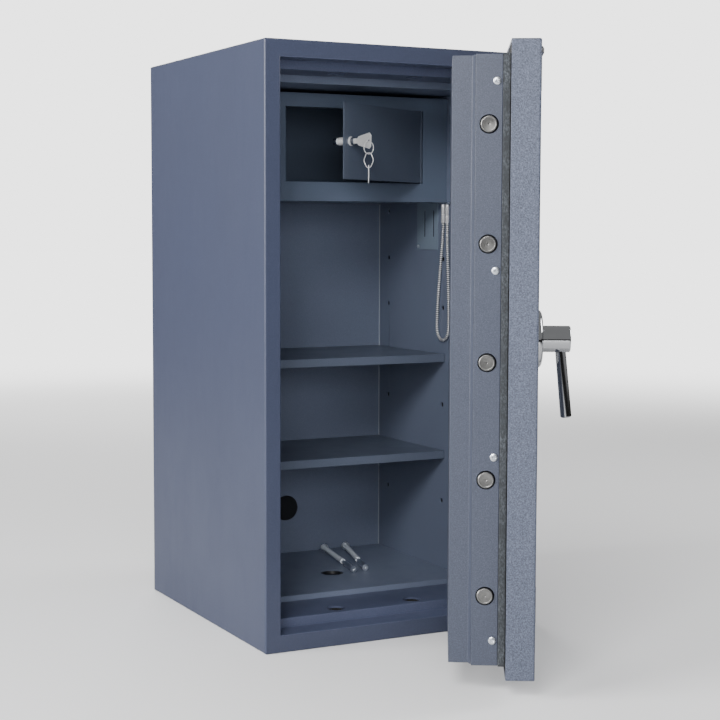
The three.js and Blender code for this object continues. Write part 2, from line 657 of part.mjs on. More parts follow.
// The pegs stand in their liner holes, so each is one piece with the sheet
function makeLiner() {
  const shell = box(LINER_X, [JAMB_DEPTH, LINER_BACK], LINER_Z);
  const lip = box(grown(JAMB_X, FRAME_SHEET), [JAMB_DEPTH, JAMB_DEPTH + LINER_WALL], grown(JAMB_Z, FRAME_SHEET));
  const ceiling = box(JAMB_X, [HEADER_DEPTH, JAMB_DEPTH + 1], [CEILING_Z, CEILING_Z + LINER_WALL]);
  const ceilingLip = box(JAMB_X, [HEADER_DEPTH, HEADER_DEPTH + LINER_WALL], [CEILING_Z, HEADER_Z + FRAME_SHEET]);
  const inside = box(JAMB_X, [0, BACK_Y], [FLOOR_Z, CEILING_Z]);
  const pinHoles = [];
  for (const z of freePinHeights()) {
    for (const y of [FRONT_PINS_Y, REAR_PINS_Y]) {
      for (const x of LINER_X) {
        pinHoles.push(rod('x', [x - LINER_WALL - 1, y, z], 2 * LINER_WALL + 2, PIN_HOLE_RADIUS, HIDDEN_SIDES));
      }
    }
  }
  const lined = cut(joined(shell, lip, ceiling, ceilingLip), inside, ...anchorWells(ANCHOR_WELL_RADIUS));
  const pins = [LOWER_SHELF_ROW, UPPER_SHELF_ROW].flatMap((row) => [FRONT_PINS_Y, REAR_PINS_Y].flatMap((y) => [
    shelfPin(-1, y, pinHeight(row)),
    shelfPin(1, y, pinHeight(row)),
  ]));
  return joined(cut(lined, ...pinHoles), ...pins);
}

// A shelf is one sheet with a folded lip all round, open underneath
function makeShelf(row) {
  const top = pinHeight(row) + PIN_RADIUS + REST_GAP + SHELF_SHEET;
  const x = grown(JAMB_X, -SHELF_SIDE_GAP);
  const y = [SHELF_FRONT_Y, BACK_Y - SHELF_BACK_GAP];
  const tray = box(x, y, [top - SHELF_LIP, top]);
  const inside = box(
    grown(x, -SHELF_SHEET),
    [y[0] + SHELF_SHEET, y[1] - SHELF_SHEET],
    [top - SHELF_LIP - 1, top - SHELF_SHEET],
  );
  const pinRooms = [];
  for (const pinY of [FRONT_PINS_Y, REAR_PINS_Y]) {
    const room = PIN_RADIUS + REST_GAP;
    const roomZ = [top - SHELF_LIP - 1, top - SHELF_SHEET];
    pinRooms.push(box([x[0] - 1, x[0] + SHELF_SHEET + 1], [pinY - room, pinY + room], roomZ));
    pinRooms.push(box([x[1] - SHELF_SHEET - 1, x[1] + 1], [pinY - room, pinY + room], roomZ));
  }
  return cut(tray, inside, ...pinRooms);
}

function makeLockerBox() {
  const z = [LOCKER_BOTTOM, LOCKER_TOP];
  const shell = box(JAMB_X, [LOCKER_FRONT_Y, BACK_Y], z);
  const inside = box(grown(JAMB_X, -LOCKER_SHEET), [LOCKER_FRONT_Y + LOCKER_SHEET, BACK_Y - LOCKER_SHEET], grown(z, -LOCKER_SHEET));
  const openingX = [LOCKER_OPENING_LEFT, LOCKER_OPENING_RIGHT];
  const openingZ = [LOCKER_OPENING_BOTTOM, LOCKER_OPENING_TOP];
  const returns = box(grown(openingX, LOCKER_SHEET), [LOCKER_FRONT_Y, LOCKER_FRONT_Y + LOCKER_RETURN_DEPTH], grown(openingZ, LOCKER_SHEET));
  const opening = box(openingX, [LOCKER_FRONT_Y - 1, LOCKER_FRONT_Y + LOCKER_RETURN_DEPTH + 1], openingZ);
  const shellWithReturns = cut(joined(cut(shell, inside), returns), opening);
  return joined(shellWithReturns, ...innerPivotPins());
}

// The inner door turns on two short pins that are fixed in the opening's edges
function innerPivotPins() {
  const low = LOCKER_OPENING_BOTTOM - LOCKER_SHEET;
  const high = LOCKER_OPENING_TOP + LOCKER_SHEET;
  const length = INNER_PIN_LENGTH + LOCKER_SHEET;
  return [
    rod('z', [INNER_PIVOT_X, INNER_PIVOT_Y, low], length, INNER_PIN_RADIUS, SMALL_SIDES),
    rod('z', [INNER_PIVOT_X, INNER_PIVOT_Y, high - length], length, INNER_PIN_RADIUS, SMALL_SIDES),
  ];
}

function makeInnerDoor() {
  const z = [LOCKER_OPENING_BOTTOM + INNER_DOOR_GAP, LOCKER_OPENING_TOP - INNER_DOOR_GAP];
  const sheet = box([INNER_DOOR_LEFT, INNER_PIVOT_X], [LOCKER_FRONT_Y, LOCKER_FRONT_Y + INNER_DOOR_SHEET], z);
  const knuckle = rod('z', [INNER_PIVOT_X, INNER_PIVOT_Y, z[0]], z[1] - z[0], INNER_KNUCKLE_RADIUS, SMALL_SIDES);
  const bore = INNER_PIN_RADIUS + INNER_PIN_CLEARANCE;
  const boreDepth = INNER_PIN_LENGTH;
  const bores = [
    rod('z', [INNER_PIVOT_X, INNER_PIVOT_Y, z[0] - 1], boreDepth + 1, bore, SMALL_SIDES),
    rod('z', [INNER_PIVOT_X, INNER_PIVOT_Y, z[1] - boreDepth], boreDepth + 1, bore, SMALL_SIDES),
  ];
  const lockHole = rod('y', [LOCK_X, LOCKER_FRONT_Y - 1, LOCK_HEIGHT], INNER_DOOR_SHEET + 2, LOCK_BARREL_RADIUS + DOOR_GAP);
  return cut(joined(sheet, knuckle), ...bores, lockHole);
}

// Barrel with its flange against the front of the inner door
function makeLockBarrel() {
  const length = BARREL_BACK - BARREL_FRONT;
  const body = turned('y', [LOCK_X, BARREL_FRONT, LOCK_HEIGHT], [
    [0, 0],
    [LOCK_FLANGE_RADIUS - 1, 0],
    [LOCK_FLANGE_RADIUS, 1],
    [LOCK_FLANGE_RADIUS, LOCK_FLANGE_THICKNESS],
    [LOCK_BARREL_RADIUS, LOCK_FLANGE_THICKNESS],
    [LOCK_BARREL_RADIUS, length],
    [0, length],
  ]);
  return cut(body, rod('y', [LOCK_X, BARREL_FRONT - 1, LOCK_HEIGHT], length + 2, PLUG_RADIUS + DOOR_GAP, SMALL_SIDES));
}

// Plug with a round head in front, a square for the cam and a forked tail behind
function makeLockPlug() {
  const tail = CAM_Y + CAM_THICKNESS + FORK_LENGTH;
  const body = turned('y', [LOCK_X, PLUG_FRONT, LOCK_HEIGHT], [
    [0, 0],
    [PLUG_HEAD_RADIUS - 1, 0],
    [PLUG_HEAD_RADIUS, 1],
    [PLUG_HEAD_RADIUS, PLUG_HEAD_LENGTH],
    [PLUG_RADIUS, PLUG_HEAD_LENGTH],
    [PLUG_RADIUS, CAM_Y - PLUG_FRONT],
    [0, CAM_Y - PLUG_FRONT],
  ], SMALL_SIDES);
  const half = SQUARE_HALF_WIDTH;
  const square = box([LOCK_X - half, LOCK_X + half], [CAM_Y - 1, CAM_Y + CAM_THICKNESS + 1], grown([LOCK_HEIGHT, LOCK_HEIGHT], half));
  const fork = box(
    [LOCK_X - half, LOCK_X + half],
    [CAM_Y + CAM_THICKNESS + DOOR_GAP, tail],
    grown([LOCK_HEIGHT, LOCK_HEIGHT], FORK_HALF_HEIGHT),
  );
  const gap = box(
    [LOCK_X - half - 1, LOCK_X + half + 1],
    [CAM_Y + CAM_THICKNESS + DOOR_GAP + 2, tail + 1],
    grown([LOCK_HEIGHT, LOCK_HEIGHT], FORK_GAP_HALF_HEIGHT),
  );
  const keyway = box(
    grown([LOCK_X, LOCK_X], KEY_THICKNESS / 2 + DOOR_GAP),
    [PLUG_FRONT - 1, PLUG_FRONT + KEY_BLADE_LENGTH + 1],
    grown([LOCK_HEIGHT, LOCK_HEIGHT], KEY_BLADE_WIDTH / 2 + DOOR_GAP),
  );
  return cut(joined(body, square, fork), gap, keyway);
}

// The cam points to the hinge side while the lock is open
function makeLockCam() {
  const half = SQUARE_HALF_WIDTH + DOOR_GAP;
  const outline = new THREE.Shape();
  outline.absarc(LOCK_X, LOCK_HEIGHT, CAM_WIDTH / 2, Math.PI / 2, Math.PI * 1.5);
  outline.lineTo(LOCK_X + CAM_LENGTH, LOCK_HEIGHT - CAM_WIDTH / 2);
  outline.lineTo(LOCK_X + CAM_LENGTH, LOCK_HEIGHT + CAM_WIDTH / 2);
  const plate = solidOf(alongY(outline, CAM_Y, CAM_Y + CAM_THICKNESS));
  const hole = box([LOCK_X - half, LOCK_X + half], [CAM_Y - 1, CAM_Y + CAM_THICKNESS + 1], grown([LOCK_HEIGHT, LOCK_HEIGHT], half));
  return cut(plate, hole);
}

// A flat key drawn from its bow's far end at zero towards its blade
function keyOutline(size) {
  const bevel = size.wide / 6;
  const wide = size.wide / 2;
  const narrow = size.narrow / 2;
  const blade = KEY_BLADE_WIDTH / 2;
  const collar = blade + 1.6;
  const neck = size.bow + size.neck;
  const tip = neck + size.blade;
  return [
    [0, -wide + bevel], [bevel * 0.8, -wide], [size.bow, -narrow], [size.bow + 1.5, -collar],
    [neck, -collar], [neck, -blade], [tip - 3, -blade], [tip, -blade / 3],
    [tip, blade / 3], [tip - 3, blade], [neck, blade], [neck, collar],
    [size.bow + 1.5, collar], [size.bow, narrow], [bevel * 0.8, wide], [0, wide - bevel],
  ];
}

const LOCK_KEY = {
  bow: KEY_BOW_LENGTH,
  wide: KEY_BOW_WIDE,
  narrow: KEY_BOW_NARROW,
  neck: KEY_NECK_LENGTH,
  blade: KEY_BLADE_LENGTH,
};
const SPARE_KEY = {
  bow: SPARE_BOW_LENGTH,
  wide: SPARE_BOW_WIDE,
  narrow: SPARE_BOW_NARROW,
  neck: SPARE_NECK_LENGTH,
  blade: SPARE_BLADE_LENGTH,
};

function keyPlate(size) {
  const outline = polygon(keyOutline(size));
  const hole = new THREE.Path();
  hole.absarc(KEY_HOLE_INSET, 0, KEY_HOLE_RADIUS, 0, Math.PI * 2);
  outline.holes.push(hole);
  return alongZ(outline, -KEY_THICKNESS / 2, KEY_THICKNESS / 2, 12);
}

// The key in the lock: its flat stands upright and its blade lies in the plug's slot
function makeKey() {
  const geometry = keyPlate(LOCK_KEY);
  const upright = new THREE.Matrix4().makeBasis(
    new THREE.Vector3(0, 1, 0),
    new THREE.Vector3(0, 0, 1),
    new THREE.Vector3(1, 0, 0),
  );
  geometry.applyMatrix4(upright);
  geometry.translate(LOCK_X, KEY_BOW_END, LOCK_HEIGHT);
  return solidOf(geometry);
}

// The bunch hangs from the key's hole, each part resting on the one above it
const HOLE_PLAY = KEY_HOLE_RADIUS - WIRE_RADIUS - BUNCH_PLAY;
const BUNCH_Y = KEY_BOW_END + KEY_HOLE_INSET;
const RING_CENTRE_Z = LOCK_HEIGHT - HOLE_PLAY - RING_RADIUS;
const LINK_TOP_Z = RING_CENTRE_Z - RING_RADIUS + 2 * WIRE_RADIUS + BUNCH_PLAY;
const SPARE_HOLE_Z = LINK_TOP_Z - LINK_DROP - HOLE_PLAY;

function hungAt(geometry, degrees, z) {
  geometry.rotateZ(THREE.MathUtils.degToRad(degrees));
  geometry.translate(LOCK_X, BUNCH_Y, z);
  return solidOf(geometry);
}

function makeKeyRing() {
  const geometry = new THREE.TorusGeometry(RING_RADIUS, WIRE_RADIUS, 6, 26);
  geometry.rotateX(Math.PI / 2);
  return hungAt(geometry, RING_TURN, RING_CENTRE_Z);
}

// A six-sided wire link, drawn around its centre in X and Z
function makeKeyLink() {
  const half = LINK_DROP / 2;
  const side = LINK_BREADTH / 2;
  const flat = side - LINK_CORNER;
  const corners = [[-flat, half], [flat, half], [side, 0], [flat, -half], [-flat, -half], [-side, 0]];
  const places = [];
  corners.forEach(([x, z], index) => {
    const [nextX, nextZ] = corners[(index + 1) % corners.length];
    for (const share of [0.12, 0.5, 0.88]) {
      places.push(new THREE.Vector3(x + (nextX - x) * share, 0, z + (nextZ - z) * share));
    }
  });
  const curve = new THREE.CatmullRomCurve3(places, true, 'centripetal');
  const geometry = new THREE.TubeGeometry(curve, 36, WIRE_RADIUS, 6, true);
  return hungAt(geometry, LINK_TURN, LINK_TOP_Z - half);
}

// The second key hangs blade down from the link
function makeSpareKey() {
  const geometry = keyPlate(SPARE_KEY);
  const hanging = new THREE.Matrix4().makeBasis(
    new THREE.Vector3(0, 0, -1),
    new THREE.Vector3(0, 1, 0),
    new THREE.Vector3(1, 0, 0),
  );
  geometry.applyMatrix4(hanging);
  return hungAt(geometry, SPARE_TURN, SPARE_HOLE_Z + KEY_HOLE_INSET);
}

// Cover plate with two upright slots, flat on the right-hand wall
function makeSlotPlate() {
  const outline = rectangle([SLOT_PLATE_FRONT, SLOT_PLATE_BACK], [SLOT_PLATE_BOTTOM, LOCKER_BOTTOM]);
  for (const y of SLOT_POSITIONS) {
    outline.holes.push(slotOutline(y, SLOT_PLATE_BOTTOM + SLOT_FOOT_RISE + SLOT_LENGTH / 2, SLOT_WIDTH, SLOT_LENGTH));
  }
  const screwHole = new THREE.Path();
  const screwY = SLOT_PLATE_BACK - PLATE_SCREW_INSET;
  const screwZ = SLOT_PLATE_BOTTOM + PLATE_SCREW_INSET;
  screwHole.absarc(screwY, screwZ, PLATE_SCREW_SHANK + REST_GAP, 0, Math.PI * 2);
  outline.holes.push(screwHole);
  return solidOf(alongX(outline, JAMB_RIGHT - SLOT_PLATE_SHEET, JAMB_RIGHT, 4));
}

function makePlateScrew() {
  const head = PLATE_SCREW_HEAD;
  const start = JAMB_RIGHT - SLOT_PLATE_SHEET - head;
  const place = [start, SLOT_PLATE_BACK - PLATE_SCREW_INSET, SLOT_PLATE_BOTTOM + PLATE_SCREW_INSET];
  return turned('x', place, [
    [0, 0],
    [PLATE_SCREW_RADIUS * 0.55, head * 0.12],
    [PLATE_SCREW_RADIUS, head * 0.6],
    [PLATE_SCREW_RADIUS, head],
    [PLATE_SCREW_SHANK, head],
    [PLATE_SCREW_SHANK, head + SLOT_PLATE_SHEET],
    [0, head + SLOT_PLATE_SHEET],
  ], SMALL_SIDES);
}

function makeConduitBracket() {
  const y = [CONDUIT_FRONT_Y - CONDUIT_BRACKET_MARGIN, CONDUIT_REAR_Y + CONDUIT_BRACKET_MARGIN];
  const outline = rectangle(y, [BRACKET_BOTTOM, LOCKER_BOTTOM], CONDUIT_BRACKET_HEIGHT / 5);
  return solidOf(alongX(outline, CONDUIT_X - CONDUIT_WALL_GAP, JAMB_RIGHT));
}

// Ferrule tube with a hexagon nut at its foot, hung from the bracket
function makeFerrule(y) {
  const tube = rod('z', [CONDUIT_X, y, NUT_BOTTOM], FERRULE_LENGTH, FERRULE_RADIUS, SMALL_SIDES);
  const nut = rod('z', [CONDUIT_X, y, NUT_BOTTOM], FERRULE_NUT_LENGTH, FERRULE_NUT_RADIUS, 6);
  return joined(tube, nut);
}

// The conduit hangs in one loop between the two ferrules. Places are chosen by hand, as
// [back from the locker's front, down from the ferrules' ends].
const CONDUIT_ROUTE = [
  [7, 0], [7.1, 9], [9.6, 35], [15, 75], [21.4, 120], [27, 162], [30.6, 200], [31.6, 236], [28.2, 249],
  [18.8, 259.4], [6, 263], [-6.8, 259.4], [-16.2, 249], [-19.6, 236], [-20.2, 200], [-18.6, 162], [-16, 120],
  [-13.4, 75], [-11.5, 35], [-11.1, 9], [-11, 0],
];

// The bore needs rings only where the conduit bends, and one at each end
function boreShares(curve, ribs) {
  const shares = [0];
  let last = curve.getTangentAt(0);
  for (let rib = 1; rib < ribs; rib += 1) {
    const tangent = curve.getTangentAt(rib / ribs);
    if (tangent.angleTo(last) > BORE_STEP_ANGLE) {
      shares.push(rib / ribs);
      last = tangent;
    }
  }
  return [...shares, 1];
}

// Least gap between two stretches of the conduit that lie well apart along it
function leastGap(curve, length) {
  const points = curve.getSpacedPoints(Math.round(length / 2));
  const apart = Math.round(GAP_TEST_DISTANCE / 2);
  let least = Infinity;
  points.forEach((point, index) => {
    for (const other of points.slice(index + apart)) least = Math.min(least, point.distanceTo(other));
  });
  return least - 2 * CONDUIT_RADIUS;
}

function makeConduit() {
  const route = CONDUIT_ROUTE.map(([back, down]) => (
    new THREE.Vector3(CONDUIT_X, LOCKER_FRONT_Y + back, CONDUIT_TOP - down)));
  const curve = new THREE.CatmullRomCurve3(route, false, 'centripetal');
  const length = curve.getLength();
  const ribs = Math.round(length / CONDUIT_RIB_PITCH);
  const points = 8;
  const across = new THREE.Vector3(1, 0, 0);
  const positions = [];
  const faces = [];
  function addRing(share, radius) {
    const centre = curve.getPointAt(share);
    const tangent = curve.getTangentAt(share);
    if (share === 0 || share === 1) tangent.set(0, 0, share === 0 ? -1 : 1);
    const normal = new THREE.Vector3().crossVectors(tangent, across).normalize();
    for (let step = 0; step < points; step += 1) {
      const angle = (step / points) * Math.PI * 2;
      const spoke = across.clone().multiplyScalar(Math.cos(angle)).addScaledVector(normal, Math.sin(angle));
      const place = centre.clone().addScaledVector(spoke, radius);
      positions.push(place.x, place.y, place.z);
    }
    return positions.length / 3 - points;
  }
  function bridge(from, to) {
    for (let step = 0; step < points; step += 1) {
      const next = (step + 1) % points;
      faces.push(from + step, to + step, from + next, from + next, to + step, to + next);
    }
  }
  const skin = [];
  for (let rib = 0; rib < ribs; rib += 1) {
    skin.push(addRing(rib / ribs, CONDUIT_VALLEY_RADIUS));
    skin.push(addRing((rib + 0.5) / ribs, CONDUIT_RADIUS));
  }
  skin.push(addRing(1, CONDUIT_VALLEY_RADIUS));
  const bore = boreShares(curve, ribs).map((share) => addRing(share, CONDUIT_BORE_RADIUS));
  for (let ring = 1; ring < skin.length; ring += 1) bridge(skin[ring], skin[ring - 1]);
  for (let ring = 1; ring < bore.length; ring += 1) bridge(bore[ring - 1], bore[ring]);
  bridge(skin[0], bore[0]);
  bridge(bore[bore.length - 1], skin[skin.length - 1]);
  const geometry = new THREE.BufferGeometry();
  geometry.setAttribute('position', new THREE.Float32BufferAttribute(positions, 3));
  geometry.setIndex(faces);
  const gap = leastGap(curve, length);
  console.log(`conduit length ${length.toFixed(1)} mm, ${ribs} ribs, least gap to itself ${gap.toFixed(1)} mm`);
  return solidOf(geometry);
}

function makeRearPlug() {
  return turned('y', [ANCHOR_X, BACK_Y - PLUG_FLANGE_THICKNESS, BACK_ANCHOR_Z], [
    [0, 0],
    [PLUG_FLANGE_RADIUS - 2, 0],
    [PLUG_FLANGE_RADIUS, 1.5],
    [PLUG_FLANGE_RADIUS, PLUG_FLANGE_THICKNESS],
    [ANCHOR_WELL_RADIUS - PLUG_CLEARANCE, PLUG_FLANGE_THICKNESS],
    [ANCHOR_WELL_RADIUS - PLUG_CLEARANCE, PLUG_SPIGOT_DEPTH],
    [0, PLUG_SPIGOT_DEPTH],
  ]);
}

// The floor plug is a shallow dish, with its rim just under the floor's surface
function makeFloorPlug() {
  const radius = ANCHOR_WELL_RADIUS - PLUG_CLEARANCE;
  return turned('z', [ANCHOR_X, FLOOR_ANCHOR_Y, FLOOR_Z - PLUG_SPIGOT_DEPTH], [
    [0, 0],
    [radius, 0],
    [radius, PLUG_SPIGOT_DEPTH - 1],
    [radius - 4, PLUG_SPIGOT_DEPTH - 1],
    [radius - 6, PLUG_SPIGOT_DEPTH - 7],
    [0, PLUG_SPIGOT_DEPTH - 7],
  ]);
}

// A loose anchor lies on the floor: its cone end to the front and its head to the back
function anchorPieces(fromCentre, degrees) {
  const angle = THREE.MathUtils.degToRad(degrees);
  const tilt = Math.asin((ANCHOR_WASHER_RADIUS - ANCHOR_CONE_RADIUS) / ANCHOR_LENGTH);
  const matrix = new THREE.Matrix4().makeRotationZ(-angle);
  matrix.multiply(new THREE.Matrix4().makeRotationX(tilt));
  const frontY = BACK_Y - ANCHOR_HEADS_FROM_BACK - ANCHOR_LENGTH * Math.cos(angle);
  matrix.setPosition(RIGHT / 2 + fromCentre, frontY, FLOOR_Z + ANCHOR_CONE_RADIUS + REST_GAP);
  const shape = (profile, sides) => {
    const points = profile.map(([r, y]) => new THREE.Vector2(r, y));
    return new THREE.LatheGeometry(points, sides);
  };
  const radius = ANCHOR_WASHER_RADIUS;
  const washerY = ANCHOR_LENGTH - ANCHOR_HEAD_LENGTH - ANCHOR_WASHER_THICKNESS;
  const washerEnd = washerY + ANCHOR_WASHER_THICKNESS;
  const bolt = [
    [0, ANCHOR_END_BORE_DEPTH], [ANCHOR_END_BORE_RADIUS, 0], [ANCHOR_CONE_RADIUS, 0],
    [ANCHOR_CONE_RADIUS, ANCHOR_CONE_RIM], [ANCHOR_SHANK_RADIUS, ANCHOR_CONE_LENGTH],
    [EXPANDER_RADIUS, EXPANDER_START], [EXPANDER_RADIUS, EXPANDER_END], [ANCHOR_SHANK_RADIUS, EXPANDER_END],
    [ANCHOR_SHANK_RADIUS, washerY], [radius, washerY], [radius, washerEnd], [0, washerEnd],
  ];
  const sleeve = [
    [ANCHOR_SHANK_RADIUS + REST_GAP, ANCHOR_SLEEVE_START], [ANCHOR_SLEEVE_RADIUS, ANCHOR_SLEEVE_START],
    [ANCHOR_SLEEVE_RADIUS, washerY - REST_GAP], [ANCHOR_SHANK_RADIUS + REST_GAP, washerY - REST_GAP],
    [ANCHOR_SHANK_RADIUS + REST_GAP, ANCHOR_SLEEVE_START],
  ];
  const head = new THREE.CylinderGeometry(ANCHOR_HEAD_RADIUS, ANCHOR_HEAD_RADIUS, ANCHOR_HEAD_LENGTH, 6);
  head.translate(0, washerEnd + ANCHOR_HEAD_LENGTH / 2, 0);
  const boltSolid = joined(solidOf(shape(bolt, SMALL_SIDES)), solidOf(head));
  const place = (solid) => {
    const geometry = geometryOf(solid);
    geometry.applyMatrix4(matrix);
    return solidOf(geometry);
  };
  return { bolt: place(boltSolid), sleeve: place(solidOf(shape(sleeve, SMALL_SIDES))) };
}

// The lugs on the cabinet carry the hinge pins
function lugBody(z) {
  const arm = polygon([
    [HINGE_X - KNUCKLE_RADIUS, 0], [HINGE_X - KNUCKLE_RADIUS, HINGE_Y], [HINGE_X + KNUCKLE_RADIUS, HINGE_Y],
    [HINGE_X + KNUCKLE_RADIUS + LUG_FLARE, 0],
  ]);
  const nose = rod('z', [HINGE_X, HINGE_Y, z[0]], z[1] - z[0], KNUCKLE_RADIUS);
  return joined(solidOf(alongZ(arm, z[0], z[1])), nose);
}

function makeTopLug() {
  const z = [TOP - TOP_LUG_HEIGHT, TOP];
  const collar = turned('z', [HINGE_X, HINGE_Y, TOP - CAP_COLLAR], [
    [0, 0], [KNUCKLE_RADIUS, 0], [CAP_RADIUS, CAP_COLLAR], [0, CAP_COLLAR],
  ]);
  const pinLength = ARM_HEIGHT - 2;
  const pin = rod('z', [HINGE_X, HINGE_Y, z[0] - pinLength], pinLength + 1, HINGE_PIN_RADIUS);
  return joined(lugBody(z), collar, pin);
}

function makeBottomLug() {
  const z = [BOTTOM_LUG_FOOT, BOTTOM_LUG_TOP];
  const pin = rod('z', [HINGE_X, HINGE_Y, z[1] - 1], ARM_HEIGHT - 1, HINGE_PIN_RADIUS);
  return joined(lugBody(z), pin);
}

function makeHingeCap() {
  return turned('z', [HINGE_X, HINGE_Y, TOP], [
    [0, 0], [CAP_RADIUS, 0], [CAP_RADIUS, CAP_HEIGHT - CAP_EDGE], [CAP_RADIUS - CAP_EDGE, CAP_HEIGHT], [0, CAP_HEIGHT],
  ]);
}

const ARM_BOTTOM_Z = BOTTOM_LUG_TOP + DOOR_GAP;
const ARM_TOP_Z = TOP - TOP_LUG_HEIGHT - DOOR_GAP - ARM_HEIGHT;

// The door's arms reach from its outer face round to the hinge pins
function makeHingeArm(bottom) {
  const face = -DOOR_GAP;
  const doorEdge = RIGHT - RIM_SIDE - DOOR_HINGE_GAP;
  const strapEnd = HINGE_X - KNUCKLE_RADIUS - ARM_REACH;
  const strap = polygon([
    [strapEnd, face], [strapEnd, face - ARM_THICKNESS], [HINGE_X + HINGE_Y, face - ARM_THICKNESS],
    [HINGE_X - ARM_CRANK, HINGE_Y - ARM_CRANK], [HINGE_X + ARM_CRANK, HINGE_Y + ARM_CRANK], [doorEdge, face],
  ]);
  const knuckle = rod('z', [HINGE_X, HINGE_Y, bottom], ARM_HEIGHT, KNUCKLE_RADIUS);
  const bore = rod('z', [HINGE_X, HINGE_Y, bottom - 1], ARM_HEIGHT + 2, HINGE_PIN_RADIUS + HINGE_PIN_CLEARANCE);
  return cut(joined(solidOf(alongZ(strap, bottom, bottom + ARM_HEIGHT)), knuckle), bore);
}

const DOOR_X = [DOOR_FREE_X, RIM_X[1] - DOOR_HINGE_GAP];
const DOOR_Z = grown(RIM_Z, -DOOR_END_GAP);
const POCKET_X = [DOOR_X[0] + DOOR_SHEET, DOOR_X[1] - DOOR_SHEET];
const POCKET_Z = grown(DOOR_Z, -DOOR_SHEET);
const HOUSING_X = [HOUSING_FREE_X, HOUSING_HINGE_X];
const HOUSING_Z = [HOUSING_BOTTOM, HOUSING_TOP];
const SEAL_X = grown(HOUSING_X, SEAL_PROUD);
const SEAL_Z = grown(HOUSING_Z, SEAL_PROUD);

function spindleHole(from, to, clearance) {
  return rod('y', [HANDLE_X, from, HANDLE_Z], to - from, SPINDLE_RADIUS + clearance, SMALL_SIDES);
}

function keyholeBore(from, to) {
  return rod('y', [HANDLE_X, from, KEYHOLE_Z], to - from, KEYHOLE_RADIUS, SMALL_SIDES);
}

// A deep pan: rounded front edges, and a free edge that tapers to clear the frame as it swings
function makeDoorPan() {
  const block = roundedFrontBlock(DOOR_X, DOOR_Z, DOOR_THICKNESS, DOOR_EDGE_RADIUS);
  const taper = polygon([
    [DOOR_X[0] - 1, DOOR_EDGE_RADIUS], [DOOR_X[0], DOOR_EDGE_RADIUS], [DOOR_X[0] + DOOR_EDGE_TAPER, DOOR_THICKNESS + 1],
    [DOOR_X[0] - 1, DOOR_THICKNESS + 1],
  ]);
  const pocket = box(POCKET_X, [DOOR_SHEET, DOOR_THICKNESS + 1], POCKET_Z);
  const shaved = solidOf(alongZ(taper, DOOR_Z[0] - 1, DOOR_Z[1] + 1));
  return cut(block, shaved, pocket, spindleHole(-1, DOOR_SHEET + 1, SPINDLE_CLEARANCE), keyholeBore(-1, DOOR_SHEET + 1));
}

function makeDoorFill() {
  const slab = box(grown(POCKET_X, -DOOR_GAP), [DOOR_SHEET + DOOR_GAP, DOOR_THICKNESS - DOOR_GAP], grown(POCKET_Z, -DOOR_GAP));
  const step = box(
    grown(SEAL_X, -SEAL_WIDTH - DOOR_GAP),
    [DOOR_THICKNESS - 1, HOUSING_Y - DOOR_GAP],
    grown(SEAL_Z, -SEAL_WIDTH - DOOR_GAP),
  );
  return cut(joined(slab, step), spindleHole(0, HOUSING_Y, 2), keyholeBore(0, HOUSING_Y));
}

function makeFireSeal() {
  const y = [DOOR_THICKNESS + DOOR_GAP, HOUSING_Y - DOOR_GAP];
  const outline = rectangle(SEAL_X, SEAL_Z);
  outline.holes.push(rectangle(grown(SEAL_X, -SEAL_WIDTH), grown(SEAL_Z, -SEAL_WIDTH)));
  return solidOf(alongY(outline, y[0], y[1]));
}

// The tray that holds the boltwork, with guide studs welded to its floor
function makeBoltHousing() {
  const y = [HOUSING_Y, HOUSING_BACK];
  const tray = box(HOUSING_X, y, HOUSING_Z);
  const inside = box(grown(HOUSING_X, -HOUSING_WALL), [y[0] + HOUSING_WALL, y[1] + 1], grown(HOUSING_Z, -HOUSING_WALL));
  const sideHoles = sideBoltHeights().map((z) => (
    rod('x', [HOUSING_FREE_X - 1, BOLT_DEPTH, z], HOUSING_WALL + 2, BOLT_HOLE_RADIUS)));
  const endHoles = END_BOLT_POSITIONS.flatMap((x) => [
    rod('z', [x, BOLT_DEPTH, HOUSING_BOTTOM - 1], HOUSING_WALL + 2, BOLT_HOLE_RADIUS),
    rod('z', [x, BOLT_DEPTH, HOUSING_TOP - HOUSING_WALL - 1], HOUSING_WALL + 2, BOLT_HOLE_RADIUS),
  ]);
  const screwHoles = edgeScrewHeights().map((z) => (
    rod('x', [HOUSING_FREE_X - 1, EDGE_SCREW_Y, z], HOUSING_WALL + 2, EDGE_SCREW_SHANK + DOOR_GAP, HIDDEN_SIDES)));
  const shell = cut(
    tray, inside, ...sideHoles, ...endHoles, ...screwHoles,
    spindleHole(y[0] - 1, y[0] + HOUSING_WALL + 1, SPINDLE_CLEARANCE),
    keyholeBore(y[0] - 1, y[0] + HOUSING_WALL + 1),
  );
  return joined(shell, ...guideStuds());
}

function guideStuds() {
  const start = HOUSING_Y + HOUSING_WALL - 1;
  const shortEnd = CARRIAGE_Y + BAR_THICKNESS + 1;
  const longEnd = LINK_Y + BAR_THICKNESS + 1;
  return [
    rod('y', [GUIDE_X, start, LOWER_GUIDE_Z], longEnd - start, STUD_RADIUS, SMALL_SIDES),
    rod('y', [GUIDE_X, start, UPPER_GUIDE_Z], shortEnd - start, STUD_RADIUS, SMALL_SIDES),
    rod('y', [topLinkX(), start, UPPER_GUIDE_Z], longEnd - start, STUD_RADIUS, SMALL_SIDES),
  ];
}

function edgeScrewHeights() {
  return Array.from({ length: EDGE_SCREW_COUNT }, (_, row) => FIRST_EDGE_SCREW + row * EDGE_SCREW_PITCH);
}

